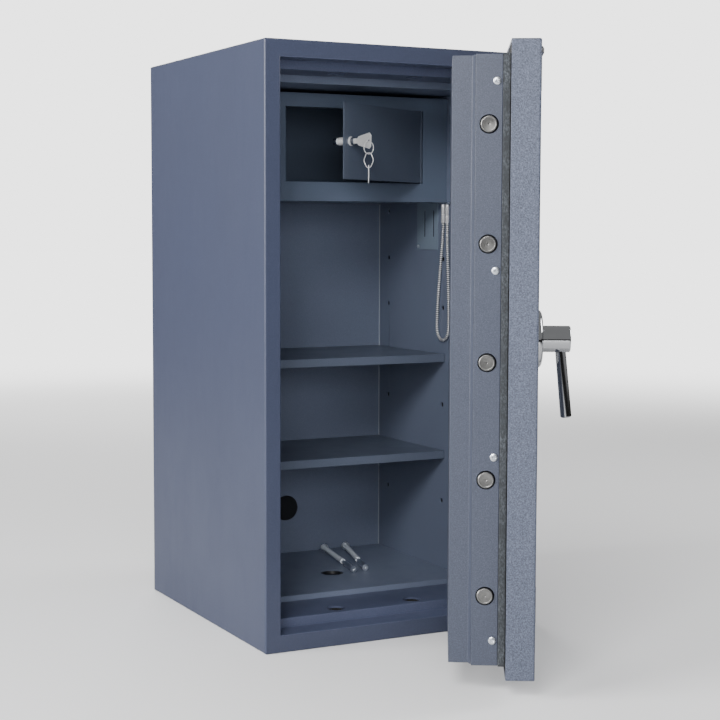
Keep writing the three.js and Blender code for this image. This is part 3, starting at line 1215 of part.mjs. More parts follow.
// The inner cover is a hollow pan with a bevelled step all round its base
function makeRearCover() {
  const baseY = HOUSING_BACK + DOOR_GAP;
  const stepY = HOUSING_BACK + COVER_BEVEL_DEPTH;
  const endY = HOUSING_BACK + COVER_DEPTH;
  const baseX = grown(HOUSING_X, -COVER_BASE_INSET);
  const baseZ = grown(HOUSING_Z, -COVER_BASE_INSET);
  const coverX = grown(HOUSING_X, -COVER_FREE_INSET);
  const coverZ = grown(HOUSING_Z, -COVER_END_INSET);
  const flare = frustum(baseX, baseZ, baseY, coverX, coverZ, stepY);
  const raised = box(coverX, [stepY - 0.01, endY], coverZ);
  const insideFlare = frustum(
    grown(baseX, -COVER_WALL), grown(baseZ, -COVER_WALL), baseY - 0.01,
    grown(coverX, -COVER_WALL), grown(coverZ, -COVER_WALL), stepY,
  );
  const insideRaised = box(grown(coverX, -COVER_WALL), [stepY - 0.02, endY - COVER_WALL], grown(coverZ, -COVER_WALL));
  return cut(joined(flare, raised), insideFlare, insideRaised);
}

function makeEdgeScrew(z) {
  const headEnd = HOUSING_FREE_X - DOOR_GAP;
  return turned('x', [headEnd - EDGE_SCREW_HEAD, EDGE_SCREW_Y, z], [
    [0, 0], [EDGE_SCREW_RADIUS * 0.6, 0.5], [EDGE_SCREW_RADIUS, 2.2], [EDGE_SCREW_RADIUS, EDGE_SCREW_HEAD],
    [EDGE_SCREW_SHANK, EDGE_SCREW_HEAD], [EDGE_SCREW_SHANK, EDGE_SCREW_HEAD + 9], [0, EDGE_SCREW_HEAD + 9],
  ], SMALL_SIDES);
}

// A bolt is a turned bar with a bevelled nose
function boltProfile(radius, length) {
  return [
    [0, 0], [radius - BOLT_CHAMFER, 0], [radius, BOLT_CHAMFER], [radius, length], [0, length],
  ];
}

function makeSideBolt(z) {
  const tip = HOUSING_FREE_X - SIDE_BOLT_PROUD;
  const bar = turned('x', [tip, BOLT_DEPTH, z], boltProfile(BOLT_RADIUS, SIDE_BOLT_LENGTH));
  const studEnd = CARRIAGE_Y + BAR_THICKNESS + 1;
  const stud = rod('y', [GUIDE_X, BOLT_DEPTH, z], studEnd - BOLT_DEPTH, STUD_RADIUS, SMALL_SIDES);
  return joined(bar, stud);
}

function makeEndBolt(x, isTop) {
  const tip = isTop ? HOUSING_TOP + END_BOLT_PROUD : HOUSING_BOTTOM - END_BOLT_PROUD;
  const profile = boltProfile(END_BOLT_RADIUS, END_BOLT_LENGTH);
  const geometry = new THREE.LatheGeometry(profile.map(([r, y]) => new THREE.Vector2(r, y)), ROUND_SIDES);
  geometry.rotateX(isTop ? -Math.PI / 2 : Math.PI / 2);
  geometry.translate(x, BOLT_DEPTH, tip);
  const studZ = isTop ? HOUSING_TOP - CROSSBAR_FROM_END - LINK_WIDTH / 2 : HOUSING_BOTTOM + CROSSBAR_FROM_END + LINK_WIDTH / 2;
  const studEnd = LINK_Y + BAR_THICKNESS + 1;
  const stud = rod('y', [x, BOLT_DEPTH, studZ], studEnd - BOLT_DEPTH, STUD_RADIUS, SMALL_SIDES);
  return joined(solidOf(geometry), stud);
}

// The upright plate that carries the five side bolts
function makeSideCarriage() {
  const y = [CARRIAGE_Y, CARRIAGE_Y + BAR_THICKNESS];
  const z = [FIRST_SIDE_BOLT - CARRIAGE_END_MARGIN, LAST_SIDE_BOLT + CARRIAGE_END_MARGIN];
  const strip = box([CARRIAGE_LEFT, CARRIAGE_LEFT + CARRIAGE_WIDTH], y, z);
  const earZ = grown([HANDLE_Z, HANDLE_Z], CARRIAGE_EAR_HEIGHT / 2);
  const ear = box([CARRIAGE_LEFT, CARRIAGE_LEFT + CARRIAGE_EAR_WIDTH], y, earZ);
  const through = [y[0] - 1, y[1] + 1];
  const studHoles = sideBoltHeights().map((height) => (
    rod('y', [GUIDE_X, through[0], height], through[1] - through[0], STUD_RADIUS + DOOR_GAP, SMALL_SIDES)));
  const guideHalf = STUD_RADIUS + DOOR_GAP;
  const guideSlots = [LOWER_GUIDE_Z, UPPER_GUIDE_Z].map((height) => (
    box([GUIDE_X - guideHalf, GUIDE_X + guideHalf + SIDE_THROW], through, grown([height, height], guideHalf))));
  const shaftHalf = SPINDLE_RADIUS + 1;
  const shaftSlot = box([HANDLE_X - shaftHalf, HANDLE_X + shaftHalf + SIDE_THROW], through, grown([HANDLE_Z, HANDLE_Z], shaftHalf));
  const pinHalf = CRANK_PIN_RADIUS + SLOT_CLEARANCE;
  const pinX = HANDLE_X + SIDE_THROW / 2;
  const pinZ = [HANDLE_Z + shaftHalf - 1, HANDLE_Z + SIDE_CRANK + pinHalf];
  const pinSlot = box(grown([pinX, pinX], pinHalf), through, pinZ);
  return cut(joined(strip, ear), ...studHoles, ...guideSlots, shaftSlot, pinSlot);
}

function topLinkX() {
  return HANDLE_X + TOP_LINK_OFFSET + LINK_WIDTH / 2;
}

// A link lifts or lowers two end bolts: a foot on the drive disc, an upright and a crossbar
function makeEndLink(isTop) {
  const y = [LINK_Y, LINK_Y + BAR_THICKNESS];
  const through = [y[0] - 1, y[1] + 1];
  const way = isTop ? 1 : -1;
  const footZ = HANDLE_Z - way * END_THROW / 2;
  const uprightX = isTop
    ? [HANDLE_X + TOP_LINK_OFFSET, HANDLE_X + TOP_LINK_OFFSET + LINK_WIDTH]
    : [HANDLE_X - BOTTOM_LINK_OFFSET, HANDLE_X - BOTTOM_LINK_OFFSET + LINK_WIDTH];
  const reach = END_THROW / 2 - 8;
  const footX = isTop ? [HANDLE_X + reach, uprightX[1]] : [uprightX[0], HANDLE_X - reach];
  const foot = box(footX, y, grown([footZ, footZ], FOOT_HEIGHT / 2));
  const barZ = isTop
    ? [HOUSING_TOP - CROSSBAR_FROM_END - LINK_WIDTH, HOUSING_TOP - CROSSBAR_FROM_END]
    : [HOUSING_BOTTOM + CROSSBAR_FROM_END, HOUSING_BOTTOM + CROSSBAR_FROM_END + LINK_WIDTH];
  const uprightZ = isTop ? [footZ - FOOT_HEIGHT / 2, barZ[1]] : [barZ[0], footZ + FOOT_HEIGHT / 2];
  const upright = box(uprightX, y, uprightZ);
  const crossbar = box([uprightX[0], CROSSBAR_RIGHT], y, barZ);
  const slotHalf = CRANK_PIN_RADIUS + SLOT_CLEARANCE;
  const near = END_THROW / 2;
  const slotX = isTop
    ? [HANDLE_X + near - slotHalf, HANDLE_X + END_CRANK + slotHalf]
    : [HANDLE_X - END_CRANK - slotHalf, HANDLE_X - near + slotHalf];
  const pinSlot = box(slotX, through, grown([footZ, footZ], slotHalf));
  const studZ = (barZ[0] + barZ[1]) / 2;
  const studHoles = END_BOLT_POSITIONS.map((x) => (
    rod('y', [x, through[0], studZ], through[1] - through[0], STUD_RADIUS + DOOR_GAP, SMALL_SIDES)));
  const guideHalf = STUD_RADIUS + DOOR_GAP;
  const guideX = isTop ? topLinkX() : GUIDE_X;
  const guideZ = isTop
    ? [UPPER_GUIDE_Z - guideHalf - END_THROW, UPPER_GUIDE_Z + guideHalf]
    : [LOWER_GUIDE_Z - guideHalf, LOWER_GUIDE_Z + guideHalf + END_THROW];
  const guideSlot = box(grown([guideX, guideX], guideHalf), through, guideZ);
  return cut(joined(foot, upright, crossbar), pinSlot, ...studHoles, guideSlot);
}

// Spindle with its drive disc and three crank pins
function makeSpindle() {
  const front = -HUB_END + HUB_CAP;
  const back = DISC_Y + DISC_THICKNESS;
  const shaft = rod('y', [HANDLE_X, front, HANDLE_Z], back - front, SPINDLE_RADIUS, SMALL_SIDES);
  const disc = rod('y', [HANDLE_X, DISC_Y, HANDLE_Z], DISC_THICKNESS, DISC_RADIUS, FINE_SIDES);
  const crank = (radius, degrees, start) => {
    const angle = THREE.MathUtils.degToRad(degrees);
    const x = HANDLE_X + radius * Math.cos(angle);
    const z = HANDLE_Z + radius * Math.sin(angle);
    return rod('y', [x, start, z], DISC_Y - start + 1, CRANK_PIN_RADIUS, SMALL_SIDES);
  };
  return joined(
    shaft,
    disc,
    crank(SIDE_CRANK, 45, CARRIAGE_Y - 0.5),
    crank(END_CRANK, -45, LINK_Y - 0.5),
    crank(END_CRANK, 135, LINK_Y - 0.5),
  );
}

function makeRosette() {
  const dome = [];
  const steps = 5;
  for (let step = 0; step <= steps; step += 1) {
    const angle = (step / steps) * Math.PI / 2;
    const radius = ROSETTE_RADIUS - ROSETTE_CROWN * (1 - Math.cos(angle));
    dome.push([radius, -ROSETTE_RIM - (ROSETTE_THICKNESS - ROSETTE_RIM) * Math.sin(angle)]);
  }
  const body = turned('y', [HANDLE_X, -DOOR_GAP, HANDLE_Z], [
    [0, -ROSETTE_THICKNESS], ...dome.reverse(), [ROSETTE_RADIUS, 0], [0, 0],
  ], FINE_SIDES);
  return cut(body, spindleHole(-ROSETTE_THICKNESS - 2, 1, SPINDLE_CLEARANCE));
}

const HUB_BASE = ROSETTE_THICKNESS + 2 * DOOR_GAP;

function leverSolid(extra) {
  const length = LEVER_LENGTH + extra;
  const profile = [
    [0, 0], [LEVER_NECK_RADIUS + extra, 0], [LEVER_END_RADIUS + extra, length - LEVER_TIP_EDGE],
    [LEVER_END_RADIUS + extra - LEVER_TIP_EDGE, length], [0, length],
  ];
  const geometry = new THREE.LatheGeometry(profile.map(([r, y]) => new THREE.Vector2(r, y)), ROUND_SIDES);
  geometry.rotateX(-Math.PI / 2);
  geometry.rotateX(-THREE.MathUtils.degToRad(LEVER_TILT));
  geometry.translate(HANDLE_X, -LEVER_START_OFFSET, HANDLE_Z);
  return solidOf(geometry);
}

function makeHub() {
  const length = HUB_END - HUB_BASE;
  const body = turned('y', [HANDLE_X, -HUB_END, HANDLE_Z], [
    [0, 0], [HUB_RADIUS - HUB_EDGE, 0], [HUB_RADIUS - 1, 1], [HUB_RADIUS, HUB_EDGE], [HUB_RADIUS, length],
    [0, length],
  ], FINE_SIDES);
  const bore = rod('y', [HANDLE_X, -HUB_END + HUB_CAP - DOOR_GAP, HANDLE_Z], HUB_END, SPINDLE_RADIUS + DOOR_GAP, SMALL_SIDES);
  return cut(body, bore, leverSolid(DOOR_GAP));
}

// The lever starts outside the spindle, in the hub's cross bore
function makeLever() {
  const clear = rod('y', [HANDLE_X, -HUB_END, HANDLE_Z], HUB_END, SPINDLE_RADIUS + 2 * DOOR_GAP, SMALL_SIDES);
  const keep = box(
    grown([HANDLE_X, HANDLE_X], LEVER_END_RADIUS + 5),
    [-HUB_END - LEVER_LENGTH, 0],
    [HANDLE_Z - 2 * LEVER_LENGTH, HANDLE_Z - SPINDLE_RADIUS - 2],
  );
  return cut(leverSolid(0).intersect(keep), clear);
}

function makeEscutcheon() {
  const outline = rectangle(
    grown([HANDLE_X, HANDLE_X], ESCUTCHEON_WIDTH / 2),
    grown([KEYHOLE_Z, KEYHOLE_Z], ESCUTCHEON_HEIGHT / 2),
    ESCUTCHEON_WIDTH / 2 - 1,
  );
  const plate = solidOf(alongY(outline, -DOOR_GAP - ESCUTCHEON_THICKNESS, -DOOR_GAP, 6));
  const slot = box(grown([HANDLE_X, HANDLE_X], 2), [-ESCUTCHEON_THICKNESS - 2, 1], [KEYHOLE_Z - 13, KEYHOLE_Z]);
  return cut(plate, keyholeBore(-ESCUTCHEON_THICKNESS - 2, 1), slot);
}

function makeLockCase() {
  const y = [HOUSING_Y + HOUSING_WALL + DOOR_GAP, HOUSING_Y + HOUSING_WALL + DOOR_GAP + LOCK_CASE_DEPTH];
  const x = [LOCK_CASE_LEFT, LOCK_CASE_LEFT + LOCK_CASE_WIDTH];
  const body = box(x, y, grown([KEYHOLE_Z, KEYHOLE_Z], LOCK_CASE_HEIGHT / 2));
  return cut(body, keyholeBore(y[0] - 1, y[0] + LOCK_CASE_DEPTH - 6));
}

// Assembly, drawn from the cabinet's front left corner and moved to the footprint's centre
const safe = new THREE.Group();
const cabinet = new THREE.Group();
cabinet.position.set(-BODY_WIDTH / 2, -BODY_DEPTH / 2, 0);
safe.add(cabinet);

// A group that turns about an upright axis while its pieces keep their closed places
function hungGroup(x, y, degrees) {
  const hinge = new THREE.Group();
  hinge.position.set(x, y, 0);
  hinge.rotation.z = THREE.MathUtils.degToRad(degrees);
  const pieces = new THREE.Group();
  pieces.position.set(-x, -y, 0);
  hinge.add(pieces);
  cabinet.add(hinge);
  return pieces;
}

function buildCabinet() {
  addPiece(cabinet, 'outer_casing', makeOuterCasing(), EXTERIOR_COAT);
  addPiece(cabinet, 'door_frame', makeDoorFrame(), EXTERIOR_COAT);
  addPiece(cabinet, 'fire_insulation', makeFireFill(), FILL);
  addPiece(cabinet, 'inner_liner', makeLiner(), INTERIOR_COAT);
  addPiece(cabinet, 'rear_plug', makeRearPlug(), BLACK_PLASTIC);
  addPiece(cabinet, 'floor_plug', makeFloorPlug(), BLACK_PLASTIC);
  addPiece(cabinet, 'hinge_lug_top', makeTopLug(), EXTERIOR_COAT);
  addPiece(cabinet, 'hinge_lug_bottom', makeBottomLug(), EXTERIOR_COAT);
  addPiece(cabinet, 'hinge_cap', makeHingeCap(), BLACK_PLASTIC);
}

function buildShelves() {
  for (const [level, row] of [['lower', LOWER_SHELF_ROW], ['upper', UPPER_SHELF_ROW]]) {
    addPiece(cabinet, `shelf_${level}`, makeShelf(row), INTERIOR_COAT);
  }
}

function buildFittings() {
  addPiece(cabinet, 'locker_box', makeLockerBox(), LOCKER_COAT);
  addPiece(cabinet, 'slot_plate', makeSlotPlate(), INTERIOR_COAT);
  addPiece(cabinet, 'plate_screw', makePlateScrew(), ZINC);
  addPiece(cabinet, 'conduit_bracket', makeConduitBracket(), CHROME);
  addPiece(cabinet, 'conduit_ferrule_front', makeFerrule(CONDUIT_FRONT_Y), CHROME);
  addPiece(cabinet, 'conduit_ferrule_rear', makeFerrule(CONDUIT_REAR_Y), CHROME);
  addPiece(cabinet, 'conduit_hose', makeConduit(), ZINC);
  const left = anchorPieces(LEFT_ANCHOR_PLACE, LEFT_ANCHOR_ANGLE);
  const right = anchorPieces(RIGHT_ANCHOR_PLACE, RIGHT_ANCHOR_ANGLE);
  addPiece(cabinet, 'anchor_bolt_left', left.bolt, ZINC);
  addPiece(cabinet, 'anchor_sleeve_left', left.sleeve, ZINC);
  addPiece(cabinet, 'anchor_bolt_right', right.bolt, ZINC);
  addPiece(cabinet, 'anchor_sleeve_right', right.sleeve, ZINC);
}

function buildDoor() {
  const door = hungGroup(HINGE_X, HINGE_Y, DOOR_ANGLE);
  addPiece(door, 'door_front_plate', makeDoorPan(), DOOR_COAT);
  addPiece(door, 'door_insulation', makeDoorFill(), FILL);
  addPiece(door, 'fire_seal', makeFireSeal(), SEAL);
  addPiece(door, 'bolt_housing', makeBoltHousing(), DOOR_COAT);
  addPiece(door, 'rear_cover', makeRearCover(), DOOR_COAT);
  addPiece(door, 'hinge_arm_top', makeHingeArm(ARM_TOP_Z), EXTERIOR_COAT);
  addPiece(door, 'hinge_arm_bottom', makeHingeArm(ARM_BOTTOM_Z), EXTERIOR_COAT);
  edgeScrewHeights().forEach((z, index) => addPiece(door, `edge_screw_${index + 1}`, makeEdgeScrew(z), ZINC));
  addPiece(door, 'handle_rosette', makeRosette(), CHROME);
  addPiece(door, 'keyhole_escutcheon', makeEscutcheon(), CHROME);
  addPiece(door, 'lock_case', makeLockCase(), PLATE_STEEL);
  addPiece(door, 'side_carriage', makeSideCarriage(), PLATE_STEEL);
  sideBoltHeights().forEach((z, index) => addPiece(door, `side_bolt_${index + 1}`, makeSideBolt(z), BOLT_STEEL));
  addPiece(door, 'top_link', makeEndLink(true), PLATE_STEEL);
  addPiece(door, 'bottom_link', makeEndLink(false), PLATE_STEEL);
  END_BOLT_POSITIONS.forEach((x, index) => {
    addPiece(door, `top_bolt_${index + 1}`, makeEndBolt(x, true), BOLT_STEEL);
    addPiece(door, `bottom_bolt_${index + 1}`, makeEndBolt(x, false), BOLT_STEEL);
  });
  addPiece(door, 'handle_spindle', makeSpindle(), PLATE_STEEL);
  addPiece(door, 'handle_hub', makeHub(), CHROME);
  addPiece(door, 'handle_lever', makeLever(), CHROME);
}

function buildInnerDoor() {
  const door = hungGroup(INNER_PIVOT_X, INNER_PIVOT_Y, INNER_DOOR_ANGLE);
  addPiece(door, 'inner_door', makeInnerDoor(), LOCKER_COAT);
  addPiece(door, 'lock_barrel', makeLockBarrel(), CHROME);
  addPiece(door, 'lock_plug', makeLockPlug(), CHROME);
  addPiece(door, 'lock_cam', makeLockCam(), ZINC);
  addPiece(door, 'key', makeKey(), CHROME);
  addPiece(door, 'key_ring', makeKeyRing(), CHROME);
  addPiece(door, 'key_link', makeKeyLink(), CHROME);
  addPiece(door, 'spare_key', makeSpareKey(), CHROME);
}

buildCabinet();
buildShelves();
buildFittings();
buildDoor();
buildInnerDoor();

export default safe;
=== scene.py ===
import json
from math import cos, hypot, pi, radians, sin

import bmesh
import bpy
from bpy.props import FloatProperty, FloatVectorProperty, IntProperty, PointerProperty
from mathutils import Matrix, Vector


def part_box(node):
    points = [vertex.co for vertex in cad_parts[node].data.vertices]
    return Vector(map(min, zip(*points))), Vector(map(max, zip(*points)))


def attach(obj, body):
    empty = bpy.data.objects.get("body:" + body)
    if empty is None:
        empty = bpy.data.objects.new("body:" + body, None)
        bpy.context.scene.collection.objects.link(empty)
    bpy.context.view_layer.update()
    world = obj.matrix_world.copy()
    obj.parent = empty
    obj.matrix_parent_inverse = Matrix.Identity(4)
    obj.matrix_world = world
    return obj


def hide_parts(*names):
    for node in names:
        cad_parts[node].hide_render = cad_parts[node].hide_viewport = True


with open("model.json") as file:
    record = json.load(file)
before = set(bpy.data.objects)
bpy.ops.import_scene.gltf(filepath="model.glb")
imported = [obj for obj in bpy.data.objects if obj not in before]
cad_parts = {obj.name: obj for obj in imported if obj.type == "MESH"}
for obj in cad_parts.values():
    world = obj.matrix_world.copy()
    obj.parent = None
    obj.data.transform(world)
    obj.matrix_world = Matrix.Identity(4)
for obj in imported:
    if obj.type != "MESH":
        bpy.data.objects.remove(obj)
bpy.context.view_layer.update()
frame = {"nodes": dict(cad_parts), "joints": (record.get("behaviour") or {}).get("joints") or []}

bl_info = {
    "name": "Fireproof safe dressing",
    "version": (1, 0, 0),
    "blender": (4, 5, 0),
    "location": "View3D > Sidebar > Safe",
    "description": "Dresses the solids of a fireproof safe with fine shapes, coats and metals",
    "category": "Object",
}

# Shapes are drawn in millimetres from the cabinet's front left corner, with each door closed.
# A placing matrix takes them to the frame, where both doors stand open.
MM = 0.001
MAIN_DOOR_OPEN = 60
INNER_DOOR_OPEN = 32
JOINTS = {joint["name"]: joint for joint in frame["joints"]}
CASING_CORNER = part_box("outer_casing")[0]
CABINET = Matrix.Translation((CASING_CORNER.x, CASING_CORNER.y, 0)) @ Matrix.Scale(MM, 4)


def swung(joint, degrees):
    """A turn about the upright axis of a hinge joint."""
    pivot = Matrix.Translation(Vector(JOINTS[joint]["pos_m"]))
    return pivot @ Matrix.Rotation(radians(degrees), 4, "Z") @ pivot.inverted()


DOOR = swung("door_swing", MAIN_DOOR_OPEN) @ CABINET
INNER_DOOR = swung("inner_door_swing", INNER_DOOR_OPEN) @ CABINET

# Directions in the closed place
RIGHT = Vector((1, 0, 0))
INTO_SAFE = Vector((0, 1, 0))
UP = Vector((0, 0, 1))

# Mesh work: how near doubled corners lie in metres, the turn in degrees from which an edge is a fold,
# and how fast the turning marks run along a profile
MERGE_REACH = 0.00001
FOLD_ANGLE = 40
TURNING_UV_SCALE = 0.1

# Eased edges of the sheet metal, as shares of the fold radius
FRAME_EASE = 1.3
SHELF_EASE = 0.6
LUG_EASE = 0.6
ARM_EASE = 0.7
LOCKER_EASE = 0.5
DOOR_PLATE_EASE = 0.5
COVER_EASE = 0.8

# Eased edges of the small pieces in metres
PRESSED_EDGE = 0.6 * MM
STAMPED_EDGE = 0.4 * MM
FINE_EDGE = 0.3 * MM
ESCUTCHEON_EDGE = 0.8 * MM

# The conduit's route on the right-hand wall, as [back, down]
CONDUIT_ROUTE = [
    [7, 0], [7.1, 9], [9.6, 35], [15, 75], [21.4, 120], [27, 162], [30.6, 200],
    [31.6, 236], [28.2, 249], [18.8, 259.4], [6, 263], [-6.8, 259.4], [-16.2, 249],
    [-19.6, 236], [-20.2, 200], [-18.6, 162], [-16, 120], [-13.4, 75], [-11.5, 35],
    [-11.1, 9], [-11, 0],
]
CONDUIT_START_GAP = 0.3
ROUTE_STEPS = 1600
RIB_SAMPLES = 8
HOSE_SIDES = 16

# Where a rib's slope and the painted shade between the ribs end and begin, as shares of the pitch from
# its middle
RIB_FOOT, RIB_SHOULDER = 0.42, 0.2
VALLEY_SHADE_EDGE, VALLEY_SHADE_FLOOR = 0.22, 0.4

# The conduit's ferrules: a chamfered nut and a tube with a groove, as (radius, height)
NUT_PROFILE = [(0, 0), (3.6, 0), (4.75, 0.9), (4.75, 15.1), (4.2, 16), (0, 16)]
NUT_EDGE = 0.3
TUBE_RADIUS = 4.4
TUBE_START = 15.8
TUBE_GROOVE = [(4.4, 19), (4.0, 19.4), (4.0, 20.6), (4.4, 21)]
TUBE_EDGE = 0.2
FERRULE_SIDES = 48

# The frame's rim, and the open peg holes of the lining: their places, their worn rims and the slack
# with which their corners are found
RIM_DEPTH = 1
PEG_HOLE_PLACES = (296, 556)
PEG_HOLE_HEIGHTS = (219, 439, 659, 769, 879)
PEG_HOLE_RADIUS = 4.4
PEG_HOLE_SLACK = 0.2
PEG_RIM_RADIUS = 6

# The lighter bead in the lining's upright corners, from the top of its floor up
FLOOR_TOP = 65
SEAM_SIZE = 1.5
SEAM_END_GAP = 0.5
SEAM_STEPS = 4

# The dimple in the cap of the top hinge pin, and how far the cap's edges are eased
CAP_DIMPLE = 0.8
CAP_EDGE = 1.2

# The inner door's lock: its dished flange, whose rounding is given as (distance in from the rim,
# depth), and its threaded body
LOCK_BORE = 5.5
LOCK_BODY_RADIUS = 8.2
FLANGE_THICKNESS = 3.5
FLANGE_ROUNDING = [(3.2, 0), (0.9, 0.2), (0, 1.2)]
FLANGE_DISH = 1.2
THREAD_START = 7.2
THREAD_PITCH = 1.5
THREAD_DEPTH = 0.5
THREAD_END_GAP = 2
BODY_CHAMFER = 0.6
LOCK_SIDES = 72

# The key ring and the wire link, with their turns in degrees as in the solids
RING_TURN = -18
LINK_TURN = -92
LINK_BREADTH = 24
LINK_CORNER = 7
LINK_ROUNDING = 0.25
WIRE_RADIUS = 0.9
WIRE_SIDES = 14
RING_STEPS = 120
LINK_CORNER_STEPS = 8

# The cover plate's screw, its two slots as [back, low, high], and the strips of painted shade behind them
PLATE_SCREW_HEIGHT = 2.4
PLATE_RECESS_DEPTH = 1.0
PLATE_SLOTS = [[342, 818, 880], [382, 818, 880]]
PLATE_SLOT_WIDTH = 7
SHADE_INSET = 0.1
SHADE_GAP = 0.05
SHADE_THICKNESS = 0.3
SHADE_STEPS = 12

# The two loose anchors on the floor
ANCHOR_SIDES = ("left", "right")

# The bolts: the turner's centre mark as (radius, depth), the dished face inside its flat ring, and
# the stud that the bar takes hold of
CENTRE_MARK = [(0, 2.2), (1.5, 0.75), (2.1, 0.5)]
FACE_DISH = 0.28
FACE_RING = 1.6
FACE_DISH_SLOPE = 0.4
FACE_EDGE = 0.5
STUD_RADIUS = 5
STUD_FROM_END = 12
STUD_SINK = 2
STUD_SIDES = 32

# The screws in the housing's edge
EDGE_SCREWS = 4
SCREW_STAND_OFF = 0.3

# The handle's rosette and hub
ROSETTE_BORE = 7
ROSETTE_RIM = 4.5
DOME_START = 5
DOME_BREADTH = 16
DOME_STEPS = 12
HUB_ROUND = 3.2
HUB_ROUND_STEPS = 8
HUB_CHAMFER = 0.8
POLISHED_SIDES = 128

# The camera's film width in millimetres and the farthest that it sees in metres
FILM_WIDTH = 36
FARTHEST_SEEN = 60

# Softboxes: name, place, what they face, breadth and height in metres, the setting that holds their
# power, and whether polished pieces mirror them
SOFTBOXES = (
    ("left softbox", (-4.3, -0.3, 1.8), (0, -0.1, 0.65), (2.8, 2.2), "left_power", True),
    ("corner softbox", (-2.5, -3.1, 2.75), (0, -0.1, 0.5), (1.4, 1.2), "corner_power", True),
    ("front softbox", (-1.5, -3.9, 1.2), (0, 0, 0.55), (1.6, 1.2), "front_power", False),
    ("right softbox", (3.6, -0.9, 1.9), (0, 0, 0.6), (1.2, 1.6), "rear_power", True),
    ("back softbox", (0.9, 4.2, 2.2), (0, 0, 0.6), (2.0, 1.4), "rear_power", True),
)


class StageSettings(bpy.types.PropertyGroup):
    camera_place: FloatVectorProperty(
        name="Camera place", description="Where the camera stands", subtype="TRANSLATION",
        unit="LENGTH", default=(-1.5598, -3.1609, 0.8342))
    camera_heading: FloatProperty(
        name="Heading", description="Turn of the view about the upright axis", subtype="ANGLE",
        default=radians(-27.1417))
    camera_tilt: FloatProperty(
        name="Tilt", description="Angle of the view from straight down", subtype="ANGLE",
        default=radians(85.3646))
    camera_roll: FloatProperty(
        name="Roll", description="Turn of the view about its own axis", subtype="ANGLE",
        default=radians(0.1689))
    camera_lens: FloatProperty(
        name="Lens", description="Focal length of the camera", unit="CAMERA", default=80.1965)
    floor_half: FloatProperty(
        name="Floor reach", description="Half the width of the floor", unit="LENGTH", default=60, min=2)
    lit_reach: FloatProperty(
        name="Lit reach", description="How far the floor shows the lamps' light", unit="LENGTH",
        default=7, min=2)
    floor_colour: FloatVectorProperty(
        name="Floor", description="Colour of the studio floor", subtype="COLOR",
        default=(0.92, 0.92, 0.925))
    floor_bounce: FloatProperty(
        name="Floor bounce", description="Share of the floor's light that reaches the safe",
        default=0.7, min=0, max=1)
    sky_strength: FloatProperty(
        name="Surrounding light", description="Strength of the light from all around",
        default=0.3, min=0)
    backdrop_strength: FloatProperty(
        name="Backdrop", description="Brightness of the surroundings behind the safe",
        default=3, min=0)
    left_power: FloatProperty(
        name="Left softbox", description="Power of the large light on the left", unit="POWER",
        default=270, min=0)
    corner_power: FloatProperty(
        name="Corner softbox", description="Power of the light at the front left", unit="POWER",
        default=132, min=0)
    front_power: FloatProperty(
        name="Front softbox", description="Power of the light beside the camera", unit="POWER",
        default=64, min=0)
    rear_power: FloatProperty(
        name="Rear softboxes", description="Power of each light at the right and the back", unit="POWER",
        default=85, min=0)


class CoatSettings(bpy.types.PropertyGroup):
    outside: FloatVectorProperty(
        name="Outside", description="Powder coat of the casing", subtype="COLOR",
        default=(0.042, 0.051, 0.091))
    door: FloatVectorProperty(
        name="Door", description="Powder coat of the main door", subtype="COLOR",
        default=(0.079, 0.092, 0.133))
    inside: FloatVectorProperty(
        name="Inside", description="Satin coat of the interior", subtype="COLOR",
        default=(0.156, 0.186, 0.264))
    shelf: FloatVectorProperty(
        name="Shelves", description="Satin coat of the shelves", subtype="COLOR",
        default=(0.1, 0.122, 0.172))
    # The frame's steps are coloured lighter than the casing as painted light, standing in for the light
    # that falls on them
    ledge: FloatVectorProperty(
        name="Frame ledges", description="Coat of the frame's steps behind its rim", subtype="COLOR",
        default=(0.078, 0.092, 0.155))
    locker: FloatVectorProperty(
        name="Locker", description="Satin coat of the inner locker", subtype="COLOR",
        default=(0.098, 0.126, 0.182))
    # The inner door's coat is a darker copy of the locker's coat, as painted shade that stands in for the
    # lighting on the door
    leaf: FloatVectorProperty(
        name="Locker leaf", description="Satin coat of the inner door", subtype="COLOR",
        default=(0.076, 0.095, 0.134))
    plate: FloatVectorProperty(
        name="Slotted plate", description="Satin coat of the slotted plate", subtype="COLOR",
        default=(0.22, 0.28, 0.36))
    # The corner beads are coloured much lighter than the lining
    seam: FloatVectorProperty(
        name="Corner seam", description="Coat that gathered in the inner corners", subtype="COLOR",
        default=(0.36, 0.4, 0.46))
    housing: FloatVectorProperty(
        name="Housing", description="Coat of the bolt housing and its cover", subtype="COLOR",
        default=(0.0525, 0.061, 0.089))
    seal: FloatVectorProperty(
        name="Seal", description="Fire seal between plate and housing", subtype="COLOR",
        default=(0.024, 0.027, 0.031))
    # The fill is nearly black: its own dark tone, with painted shade for the depth of the bolt sockets
    fill: FloatVectorProperty(
        name="Fill", description="Fire-resisting fill of the walls and the door", subtype="COLOR",
        default=(0.011, 0.011, 0.012))
    shade: FloatVectorProperty(
        name="Slot shade", description="Darkness behind the plate's slots", subtype="COLOR",
        default=(0.004, 0.004, 0.005))
    plastic: FloatVectorProperty(
        name="Plastic", description="Black plugs and the cap of the hinge pin", subtype="COLOR",
        default=(0.007, 0.0075, 0.009))
    fold_radius: FloatProperty(
        name="Fold radius", description="Radius of folded and ground edges", unit="LENGTH",
        default=0.0012, min=0.0001)


